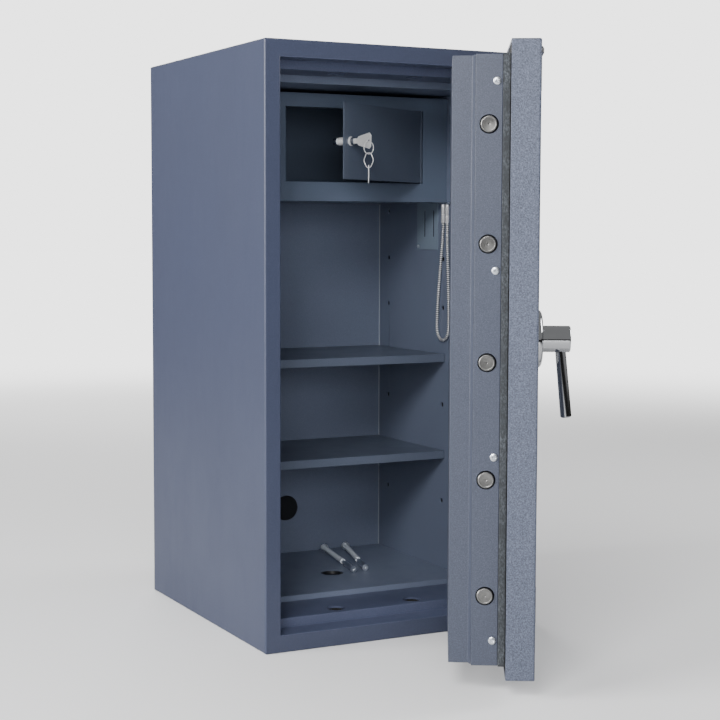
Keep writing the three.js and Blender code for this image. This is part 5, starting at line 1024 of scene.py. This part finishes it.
class SAFE_OT_stage(bpy.types.Operator):
    """Sets the camera, the floor and the soft lights"""
    bl_idname = "safe.stage"
    bl_label = "Studio"

    def execute(self, context):
        stage = context.scene.safe_stage
        self.camera(context.scene, stage)
        self.floor(stage)
        for name, place, faced, size, setting, mirrored in SOFTBOXES:
            self.softbox(name, Vector(place), Vector(faced), size, getattr(stage, setting), mirrored)
        self.surroundings(context.scene, stage)
        return {"FINISHED"}

    def camera(self, scene, stage):
        """The camera, where the photograph was taken from."""
        data = bpy.data.cameras.new("photo view")
        data.lens = stage.camera_lens
        data.sensor_width = FILM_WIDTH
        data.clip_end = FARTHEST_SEEN
        camera = add_object("photo view", data)
        heading = Matrix.Rotation(stage.camera_heading, 4, "Z")
        tilt = Matrix.Rotation(stage.camera_tilt, 4, "X")
        roll = Matrix.Rotation(stage.camera_roll, 4, "Z")
        place = Matrix.Translation(Vector(stage.camera_place))
        camera.matrix_world = place @ heading @ tilt @ roll
        scene.camera = camera

    def floor(self, stage):
        """One wide pale sheet under the safe."""
        reach = stage.floor_half
        corners = [(-reach, -reach, 0), (reach, -reach, 0), (reach, reach, 0), (-reach, reach, 0)]
        mesh = bpy.data.meshes.new("studio_floor")
        mesh.from_pydata(corners, [], [(0, 1, 2, 3)])
        mesh.materials.append(studio_material(
            "studio_floor", stage.floor_colour, stage.lit_reach, stage.backdrop_strength,
            stage.floor_bounce))
        add_object("studio_floor", mesh)

    def softbox(self, name, place, faced, size, power, mirrored):
        """A flat rectangular lamp that the camera doesn't see."""
        light = bpy.data.lights.new(name, "AREA")
        light.shape = "RECTANGLE"
        light.size, light.size_y = size
        light.energy = power
        lamp = add_object(name, light)
        lamp.visible_camera = False
        lamp.visible_glossy = mirrored
        aim = (faced - place).to_track_quat("-Z", "Y")
        lamp.matrix_world = Matrix.Translation(place) @ aim.to_matrix().to_4x4()

    def surroundings(self, scene, stage):
        """Soft light from all around, in front of a brighter backdrop."""
        world = bpy.data.worlds.new("white surroundings")
        scene.world = world
        world.use_nodes = True
        tree = world.node_tree
        seen = tree.nodes.new("ShaderNodeLightPath").outputs["Is Camera Ray"]
        strength = remapped(tree, seen, 0.0, 1.0, stage.sky_strength, stage.backdrop_strength)
        sky = tree.nodes["Background"]
        sky.inputs["Color"].default_value = (1, 1, 1, 1)
        tree.links.new(strength, sky.inputs["Strength"])


def route_point(points, share):
    """A point on the centripetal curve through the route, from 0 to 1 over its spans."""
    place = share * (len(points) - 1)
    index = min(int(place), len(points) - 2)
    weight = place - index
    p1, p2 = points[index], points[index + 1]
    p0 = points[index - 1] if index else p1 * 2 - p2
    p3 = points[index + 2] if index + 2 < len(points) else p2 * 2 - p1
    t0, t1, t2 = ((far - near).length ** 0.5 for near, far in ((p0, p1), (p1, p2), (p2, p3)))
    first = ((p1 - p0) / t0 - (p2 - p0) / (t0 + t1) + (p2 - p1) / t1) * t1
    last = ((p2 - p1) / t1 - (p3 - p1) / (t1 + t2) + (p3 - p2) / t2) * t1
    w2, w3 = weight * weight, weight ** 3
    near_part = p1 * (2 * w3 - 3 * w2 + 1) + first * (w3 - 2 * w2 + weight)
    return near_part + p2 * (3 * w2 - 2 * w3) + last * (w3 - w2)


class SAFE_OT_conduit(bpy.types.Operator):
    """Makes the ribbed conduit with its ferrules and bracket"""
    bl_idname = "safe.conduit"
    bl_label = "Conduit"

    def execute(self, context):
        metals = context.scene.safe_metals
        line = self.route()
        length = sum((far - near).length for near, far in zip(line, line[1:]))
        hose = self.hose(metals, line, length)
        for end in ("front", "rear"):
            self.ferrule(end)
        eased_piece("conduit_bracket", "conduit_plate", "zinc", "zinc", "cabinet", PRESSED_EDGE)
        return {"FINISHED"}

    def route(self):
        """The conduit's middle line in the frame, from its rear ferrule round to its front one."""
        locker_front = span("locker_box", CABINET)[0].y
        rear = seat("conduit_ferrule_rear", CABINET, 2)
        top = rear.z - CONDUIT_START_GAP
        points = [Vector((rear.x, locker_front + back, top - down)) for back, down in CONDUIT_ROUTE]
        return [CABINET @ route_point(points, step / ROUTE_STEPS) for step in range(ROUTE_STEPS + 1)]

    def hose(self, metals, line, length):
        """The ribbed skin along the middle line."""
        mesh = bpy.data.meshes.new("conduit")
        edges = [(step, step + 1) for step in range(ROUTE_STEPS)]
        mesh.from_pydata([tuple(point) for point in line], edges, [])
        hose = add_object("conduit", mesh)
        ribs = round(length / MM / metals.rib_pitch)
        grown_by(hose, ribbed_tree(), {
            "Pitch": length / ribs, "Rib Radius": metals.rib_radius * MM,
            "Valley Radius": metals.valley_radius * MM, "Samples": ribs * RIB_SAMPLES + 1,
            "Sides": HOSE_SIDES, "Finish": finish("hose_steel")})
        hose.data.polygons.foreach_set("use_smooth", [True] * len(hose.data.polygons))
        return stand_in(hose, "hose_steel", "hose_steel", "cabinet", "conduit_hose")

    def ferrule(self, end):
        """A turned nut with its tube above it."""
        node = f"conduit_ferrule_{end}"
        low, high = span(node, CABINET)
        height = high.z - low.z
        foot = seat(node, CABINET, 2)
        tube = [(0, TUBE_START), (TUBE_RADIUS, TUBE_START), *TUBE_GROOVE, (TUBE_RADIUS, height),
                (0, height)]
        work = bmesh.new()
        for profile, edge in ((NUT_PROFILE, NUT_EDGE), (tube, TUBE_EDGE)):
            lathe_into(work, eased(profile, edge, steps=2), foot, UP, CABINET, FERRULE_SIDES)
        stand_in(made_of(f"ferrule_{end}", work), "ferrule", "chrome", "cabinet", node)


class SAFE_OT_cabinet(bpy.types.Operator):
    """Eases the folded sheets of the casing, the frame and the shelves, and makes the lining"""
    bl_idname = "safe.cabinet"
    bl_label = "Cabinet"

    def execute(self, context):
        fold = context.scene.safe_coats.fold_radius
        eased_piece("outer_casing", "casing", "body_paint", "body_paint", "cabinet", fold)
        self.paint_light_on_ledges(eased_piece(
            "door_frame", "stepped_frame", "frame_paint", "body_paint", "cabinet", fold * FRAME_EASE))
        for node, name in (("shelf_lower", "lower_shelf"), ("shelf_upper", "upper_shelf")):
            eased_piece(node, name, "shelf_paint", "interior_paint", "cabinet", fold * SHELF_EASE)
        self.lining()
        self.seams()
        recoat("fire_insulation", "fill")
        return {"FINISHED"}

    def paint_light_on_ledges(self, sheet):
        """Gives the frame's steps behind the rim a lighter coat, which is painted light: it brightens the
        steps that the lamps leave in shade.
        """
        sheet.data.materials.append(finish("ledge_paint"))
        back = CABINET.inverted()
        for face in sheet.data.polygons:
            face.material_index = int((back @ face.center).y > RIM_DEPTH)

    def lining(self):
        """Makes the lining, with the rims of its open peg holes worn round."""
        work = merged_work("inner_liner")
        back = CABINET.inverted()
        centres = [Vector((0, y, z)) for y in PEG_HOLE_PLACES for z in PEG_HOLE_HEIGHTS]

        def spoke_at(vertex):
            place = back @ vertex.co
            spokes = [Vector((0, place.y, place.z)) - centre for centre in centres]
            shortest = min(spokes, key=lambda spoke: spoke.length)
            return shortest if shortest.length < PEG_HOLE_RADIUS + PEG_HOLE_SLACK else None

        def on_rim(edge):
            near, far = edge.verts
            return abs(near.co.x - far.co.x) < MERGE_REACH and spoke_at(near) and spoke_at(far)

        rims = [edge for edge in work.edges if on_rim(edge)]
        bmesh.ops.subdivide_edges(work, edges=rims, cuts=2)
        for vertex in work.verts:
            spoke = spoke_at(vertex)
            if spoke:
                worn = spoke.normalized() * (PEG_RIM_RADIUS - spoke.length)
                vertex.co = CABINET @ (back @ vertex.co + worn)
        piece = made_of("lining", work)
        stand_in(piece, "interior_paint", "interior_paint", "cabinet", "inner_liner")

    def seams(self):
        """Thin lighter beads in the two upright corners behind the shelves."""
        low, high = span("locker_box", CABINET)
        turns = [step * pi / 2 / SEAM_STEPS for step in range(SEAM_STEPS + 1)]
        work = bmesh.new()
        for x, side in ((low.x, SEAM_SIZE), (high.x, -SEAM_SIZE)):
            outline = [(x, high.y)]
            for turn in turns:
                outline.append((x + side * (1 - sin(turn)), high.y - SEAM_SIZE * (1 - cos(turn))))
            foot, head = ([(*point, z) for point in outline]
                          for z in (FLOOR_TOP + SEAM_END_GAP, low.z - SEAM_END_GAP))
            strip_into(work, foot, head)
        piece = made_of("corner_seams", work, sharp=50)
        stand_in(piece, "seam", "interior_paint", "cabinet")


class SAFE_OT_hinges(bpy.types.Operator):
    """Makes the hinge lugs, arms and the cap of the top pin"""
    bl_idname = "safe.hinges"
    bl_label = "Hinges"

    def execute(self, context):
        fold = context.scene.safe_coats.fold_radius
        for end in ("top", "bottom"):
            eased_piece(f"hinge_lug_{end}", f"lug_{end}", "body_paint", "body_paint", "cabinet",
                        fold * LUG_EASE)
            eased_piece(f"hinge_arm_{end}", f"arm_{end}", "door_paint", "door_paint", "main_door",
                        fold * ARM_EASE)
        self.cap(context.scene.safe_metals.lathe_sides)
        return {"FINISHED"}

    def cap(self, sides):
        """A moulded cap with a tapered crown and a shallow dimple."""
        low, high = span("hinge_cap", CABINET)
        size, height = (high.x - low.x) / 2, high.z - low.z
        shoulder, crown, brim, dimple = height * 0.62, size * 0.72, size * 0.5, size * 0.42
        profile = [(0, 0), (size, 0), (size, shoulder), (crown, height), (brim, height),
                   (dimple, height - CAP_DIMPLE), (0, height - CAP_DIMPLE)]
        foot = seat("hinge_cap", CABINET, 2)
        cap = turned_piece("pin_cap", eased(profile, CAP_EDGE), foot, UP, CABINET, sides)
        stand_in(cap, "black_plastic", "black_plastic", "cabinet", "hinge_cap")


class SAFE_OT_locker(bpy.types.Operator):
    """Makes the inner locker and its door"""
    bl_idname = "safe.locker"
    bl_label = "Inner locker"

    def execute(self, context):
        edge = context.scene.safe_coats.fold_radius * LOCKER_EASE
        eased_piece("locker_box", "locker", "locker_paint", "locker_paint", "cabinet", edge)
        eased_piece("inner_door", "locker_leaf", "leaf_paint", "locker_paint", "locker_door", edge)
        return {"FINISHED"}


class SAFE_OT_inner_lock(bpy.types.Operator):
    """Makes the cam lock, its key and the bunch that hangs from it"""
    bl_idname = "safe.inner_lock"
    bl_label = "Cam lock and keys"

    def execute(self, context):
        self.body()
        for node, name, coat, slot, edge in (
            ("lock_plug", "plug_of_lock", "chrome", "chrome", FINE_EDGE),
            ("lock_cam", "cam_of_lock", "bright_zinc", "zinc", STAMPED_EDGE),
            ("key", "key_in_lock", "key_nickel", "key_nickel", STAMPED_EDGE),
        ):
            eased_piece(node, name, coat, slot, "locker_lock", edge, segments=2)
        self.ring()
        self.link()
        eased_piece("spare_key", "second_key", "key_nickel", "key_nickel", "key_bunch", STAMPED_EDGE,
                    segments=2)
        return {"FINISHED"}

    def body(self):
        """The lock's flange and its threaded barrel."""
        low, high = span("lock_barrel", INNER_DOOR)
        length, flange = high.y - low.y, (high.x - low.x) / 2
        shell, end = LOCK_BODY_RADIUS, length - BODY_CHAMFER
        profile = [(LOCK_BORE, FLANGE_DISH)]
        profile += [(flange - inset, depth) for inset, depth in FLANGE_ROUNDING]
        profile += [(flange, FLANGE_THICKNESS), (shell, FLANGE_THICKNESS)]
        crest = THREAD_START
        while crest < length - THREAD_END_GAP:
            profile += [(shell, crest), (shell - THREAD_DEPTH, crest + THREAD_DEPTH),
                        (shell, crest + 2 * THREAD_DEPTH)]
            crest += THREAD_PITCH
        profile += [(shell, end), (shell - BODY_CHAMFER, length), (LOCK_BORE, length),
                    (LOCK_BORE, FLANGE_DISH)]
        face = seat("lock_barrel", INNER_DOOR, 1)
        body = turned_piece("lock_body", profile, face, INTO_SAFE, INNER_DOOR, LOCK_SIDES)
        stand_in(body, "ferrule", "chrome", "locker_door", "lock_barrel")

    def ring(self):
        """The round key ring."""
        size = self.half_height("key_ring")
        turn = self.hung("key_ring", RING_TURN)
        turns = [2 * pi * step / RING_STEPS for step in range(RING_STEPS)]
        route = [turn @ Vector((size * cos(angle), 0, size * sin(angle))) for angle in turns]
        self.wire("ring_of_keys", route, "key_ring")

    def link(self):
        """The six-sided wire link with rounded corners."""
        half, side = self.half_height("key_link"), LINK_BREADTH / 2
        flat = side - LINK_CORNER
        turn = self.hung("key_link", LINK_TURN)
        corners = [Vector(corner) for corner in (
            (-flat, 0, half), (flat, 0, half), (side, 0, 0), (flat, 0, -half), (-flat, 0, -half),
            (-side, 0, 0))]
        route = []
        for before, corner, after in zip(corners[-1:] + corners, corners, corners[1:] + corners[:1]):
            start, end = corner.lerp(before, LINK_ROUNDING), corner.lerp(after, LINK_ROUNDING)
            for step in range(LINK_CORNER_STEPS + 1):
                share = step / LINK_CORNER_STEPS
                route.append(turn @ start.lerp(corner, share).lerp(corner.lerp(end, share), share))
        self.wire("link_of_keys", route, "key_link")

    def half_height(self, node):
        """Half the height of a bent wire's middle line, in millimetres."""
        low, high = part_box(node)
        return (high.z - low.z) / MM / 2 - WIRE_RADIUS

    def hung(self, node, degrees):
        """The place of a bent wire, turned about the upright axis."""
        place = Matrix.Translation(middle(node, INNER_DOOR))
        return place @ Matrix.Rotation(radians(degrees), 4, "Z")

    def wire(self, name, route, node):
        """A closed loop of round wire."""
        work = bmesh.new()
        count = len(route)
        plane = (route[count // 3] - route[0]).cross(route[count // 2] - route[0]).normalized()
        turns = [2 * pi * step / WIRE_SIDES for step in range(WIRE_SIDES)]
        rings = []
        for index, place in enumerate(route):
            along = (route[(index + 1) % count] - route[index - 1]).normalized()
            out = along.cross(plane).normalized()
            spokes = [(out * cos(turn) + plane * sin(turn)) * WIRE_RADIUS for turn in turns]
            rings.append([work.verts.new(INNER_DOOR @ (place + spoke)) for spoke in spokes])
        for near, far in zip(rings, rings[1:] + rings[:1]):
            for k in range(WIRE_SIDES):
                after = (k + 1) % WIRE_SIDES
                work.faces.new([near[k], near[after], far[after], far[k]])
        stand_in(made_of(name, work, sharp=60), "key_nickel", "key_nickel", "key_bunch", node)


class SAFE_OT_wall_plate(bpy.types.Operator):
    """Makes the slotted cover plate and its screw"""
    bl_idname = "safe.wall_plate"
    bl_label = "Slotted plate"

    def execute(self, context):
        eased_piece("slot_plate", "slotted_plate", "plate_paint", "interior_paint", "cabinet",
                    STAMPED_EDGE)
        self.shades()
        self.screw()
        return {"FINISHED"}

    def screw(self):
        """The domed screw that holds the plate."""
        low, high = span("plate_screw", CABINET)
        place = seat("plate_screw", CABINET, 0) + RIGHT * PLATE_SCREW_HEIGHT
        work = bmesh.new()
        screw_head_into(work, (high.z - low.z) / 2, PLATE_SCREW_HEIGHT, place, -RIGHT, CABINET,
                        PLATE_RECESS_DEPTH)
        stand_in(made_of("screw_of_plate", work), "zinc", "zinc", "cabinet", "plate_screw")

    def shades(self):
        """Dark strips behind the two slots, which are painted shade."""
        face = span("slot_plate", CABINET)[1].x - SHADE_GAP
        half = PLATE_SLOT_WIDTH / 2 - SHADE_INSET
        work = bmesh.new()
        for back, bottom, top in PLATE_SLOTS:
            outline = []
            for turn, z in ((0, top - half), (pi, bottom + half)):
                for step in range(SHADE_STEPS + 1):
                    angle = turn + step * pi / SHADE_STEPS
                    outline.append((back + half * cos(angle), z + half * sin(angle)))
            strip_into(work, [(face, *point) for point in outline],
                       [(face - SHADE_THICKNESS, *point) for point in outline])
        stand_in(made_of("slot_shades", work), "shade", "black_plastic", "cabinet")


class SAFE_OT_plugs(bpy.types.Operator):
    """Makes the round plugs over the anchor holes"""
    bl_idname = "safe.plugs"
    bl_label = "Anchor hole plugs"

    def execute(self, context):
        for node, name in (("rear_plug", "back_plug"), ("floor_plug", "bottom_plug")):
            eased_piece(node, name, "black_plastic", "black_plastic", "cabinet", PRESSED_EDGE)
        return {"FINISHED"}


class SAFE_OT_anchors(bpy.types.Operator):
    """Makes the two loose anchor bolts on the floor"""
    bl_idname = "safe.anchors"
    bl_label = "Loose anchors"

    def execute(self, context):
        for side in ANCHOR_SIDES:
            for part, coat in (("bolt", "zinc"), ("sleeve", "bright_zinc")):
                node = f"anchor_{part}_{side}"
                eased_piece(node, f"loose_{node}", coat, "zinc", "cabinet", FINE_EDGE, segments=2)
        return {"FINISHED"}


class SAFE_OT_main_door(bpy.types.Operator):
    """Makes the plate, the seal, the bolt housing and the cover of the main door"""
    bl_idname = "safe.main_door"
    bl_label = "Main door"

    def execute(self, context):
        fold = context.scene.safe_coats.fold_radius
        for node, name, coat, slot, edge in (
            ("door_front_plate", "door_plate", "door_paint", "door_paint", fold * DOOR_PLATE_EASE),
            ("fire_seal", "seal_belt", "seal", "seal", fold),
            ("bolt_housing", "housing", "housing_paint", "door_paint", fold),
            ("rear_cover", "cover", "housing_paint", "door_paint", fold * COVER_EASE),
        ):
            eased_piece(node, name, coat, slot, "main_door", edge)
        recoat("door_insulation", "fill")
        recoat("lock_case", "mechanism_steel")
        return {"FINISHED"}


class SAFE_OT_bolts(bpy.types.Operator):
    """Makes the turned bolts, one row to each bar that drives them"""
    bl_idname = "safe.bolts"
    bl_label = "Bolts"

    def execute(self, context):
        for prefix, count, body, inward in (
            ("side_bolt_", 5, "side_bolts", RIGHT),
            ("top_bolt_", 2, "top_bolts", -UP),
            ("bottom_bolt_", 2, "bottom_bolts", UP),
        ):
            nodes = [f"{prefix}{index + 1}" for index in range(count)]
            first = self.bolt(prefix + "row", nodes[0], inward, context.scene.safe_metals)
            step = span(nodes[1], DOOR)[0] - span(nodes[0], DOOR)[0]
            row_of(first, count, step, DOOR, "bolt_steel")
            stand_in(first, "bolt_steel", "bolt_steel", body, *nodes)
        for node in ("side_carriage", "top_link", "bottom_link", "handle_spindle"):
            recoat(node, "mechanism_steel")
        return {"FINISHED"}

    def bolt(self, name, node, inward, metals):
        """One bolt with its stud. Inward points from its nose into the door."""
        low, high = span(node, DOOR)
        size = high - low
        radius, length = (size.x / 2, size.z) if inward.z else (size.z / 2, size.x)
        nose = (low + high) / 2 - inward * length / 2
        nose.y = low.y + radius
        rim, edge = radius - metals.bolt_edge, metals.bolt_edge
        profile = [*CENTRE_MARK, (rim - FACE_RING - FACE_DISH_SLOPE, FACE_DISH), (rim - FACE_RING, 0),
                   (rim, 0), (radius, edge), (radius, length - edge), (rim, length), (0, length)]
        work = bmesh.new()
        lathe_into(work, eased(profile, FACE_EDGE), nose, inward, DOOR, metals.lathe_sides)
        foot = nose + inward * (length - STUD_FROM_END) + INTO_SAFE * (radius - STUD_SINK)
        height = high.y - foot.y
        stud = [(0, 0), (STUD_RADIUS, 0), (STUD_RADIUS, height), (0, height)]
        lathe_into(work, stud, foot, INTO_SAFE, DOOR, STUD_SIDES)
        return made_of(name, work)


class SAFE_OT_edge_screws(bpy.types.Operator):
    """Makes the row of screws in the housing's free edge"""
    bl_idname = "safe.edge_screws"
    bl_label = "Edge screws"

    def execute(self, context):
        nodes = [f"edge_screw_{index + 1}" for index in range(EDGE_SCREWS)]
        low, high = span(nodes[0], DOOR)
        place = (low + high) / 2
        place.x = span("bolt_housing", DOOR)[0].x - SCREW_STAND_OFF
        work = bmesh.new()
        screw_head_into(work, (high.z - low.z) / 2, place.x - low.x, place, -RIGHT, DOOR,
                        context.scene.safe_metals.recess_depth)
        screws = made_of("edge_screws", work)
        row_of(screws, EDGE_SCREWS, span(nodes[1], DOOR)[0] - low, DOOR, "zinc")
        stand_in(screws, "zinc", "zinc", "main_door", *nodes)
        return {"FINISHED"}


class SAFE_OT_handle(bpy.types.Operator):
    """Makes the rosette, the hub, the lever and the keyhole escutcheon"""
    bl_idname = "safe.handle"
    bl_label = "Handle"

    def execute(self, context):
        self.rosette()
        self.hub()
        eased_piece("handle_lever", "lever", "chrome", "chrome", "handle", STAMPED_EDGE)
        eased_piece("keyhole_escutcheon", "escutcheon", "chrome", "chrome", "main_door",
                    ESCUTCHEON_EDGE)
        return {"FINISHED"}

    def rosette(self):
        """A round plate with a straight rim and a quarter-round dome."""
        low, high = span("handle_rosette", DOOR)
        size, thick = (high.x - low.x) / 2, high.y - low.y
        profile = [(ROSETTE_BORE, thick), (size, thick), (size, thick - ROSETTE_RIM)]
        for step in range(1, DOME_STEPS + 1):
            angle = step / DOME_STEPS * pi / 2
            profile.append(
                (size - DOME_BREADTH * (1 - cos(angle)), (thick - DOME_START) * (1 - sin(angle))))
        profile += [(ROSETTE_BORE, 0), (ROSETTE_BORE, thick)]
        face = seat("handle_rosette", DOOR, 1)
        rosette = turned_piece("rosette", profile, face, INTO_SAFE, DOOR, POLISHED_SIDES)
        stand_in(rosette, "chrome", "chrome", "main_door", "handle_rosette")

    def hub(self):
        """A round hub with a rolled nose, in line with the rosette."""
        low, high = span("handle_hub", DOOR)
        size, length = (high.x - low.x) / 2, high.y - low.y
        flat = size - HUB_ROUND
        turns = [step * pi / 2 / HUB_ROUND_STEPS for step in range(HUB_ROUND_STEPS + 1)]
        profile = [(0, 0)]
        profile += [(flat + HUB_ROUND * sin(turn), HUB_ROUND * (1 - cos(turn))) for turn in turns]
        profile += [(size, length - HUB_CHAMFER), (size - HUB_CHAMFER, length), (0, length)]
        face = seat("handle_rosette", DOOR, 1)
        face.y = low.y
        hub = turned_piece("hub", profile, face, INTO_SAFE, DOOR, POLISHED_SIDES)
        stand_in(hub, "chrome", "chrome", "handle", "handle_hub")


class SAFE_PT_dressing(bpy.types.Panel):
    """Lists the steps that dress the safe"""
    bl_label = "Fireproof safe"
    bl_idname = "SAFE_PT_dressing"
    bl_space_type = "VIEW_3D"
    bl_region_type = "UI"
    bl_category = "Safe"

    def draw(self, context):
        for setting in SETTINGS:
            group = getattr(context.scene, setting)
            column = self.layout.column(align=True)
            column.label(text=setting.replace("_", " ").capitalize())
            for name in group.bl_rna.properties.keys():
                if name not in {"rna_type", "name"}:
                    column.prop(group, name)
        for step in STEPS:
            self.layout.operator(step.bl_idname)


STEPS = (
    SAFE_OT_stage, SAFE_OT_conduit, SAFE_OT_cabinet, SAFE_OT_hinges, SAFE_OT_locker,
    SAFE_OT_inner_lock, SAFE_OT_wall_plate, SAFE_OT_plugs, SAFE_OT_anchors, SAFE_OT_main_door,
    SAFE_OT_bolts, SAFE_OT_edge_screws, SAFE_OT_handle,
)
SETTINGS = {"safe_stage": StageSettings, "safe_coats": CoatSettings, "safe_metals": MetalSettings}
CLASSES = (*SETTINGS.values(), *STEPS, SAFE_PT_dressing)


def register():
    for kind in CLASSES:
        bpy.utils.register_class(kind)
    for name, kind in SETTINGS.items():
        setattr(bpy.types.Scene, name, PointerProperty(type=kind))


def unregister():
    for name in SETTINGS:
        delattr(bpy.types.Scene, name)
    for kind in reversed(CLASSES):
        bpy.utils.unregister_class(kind)


def main():
    register()
    for step in STEPS:
        package, call = step.bl_idname.split(".")
        getattr(getattr(bpy.ops, package), call)()


if __name__ == "__main__":
    main()
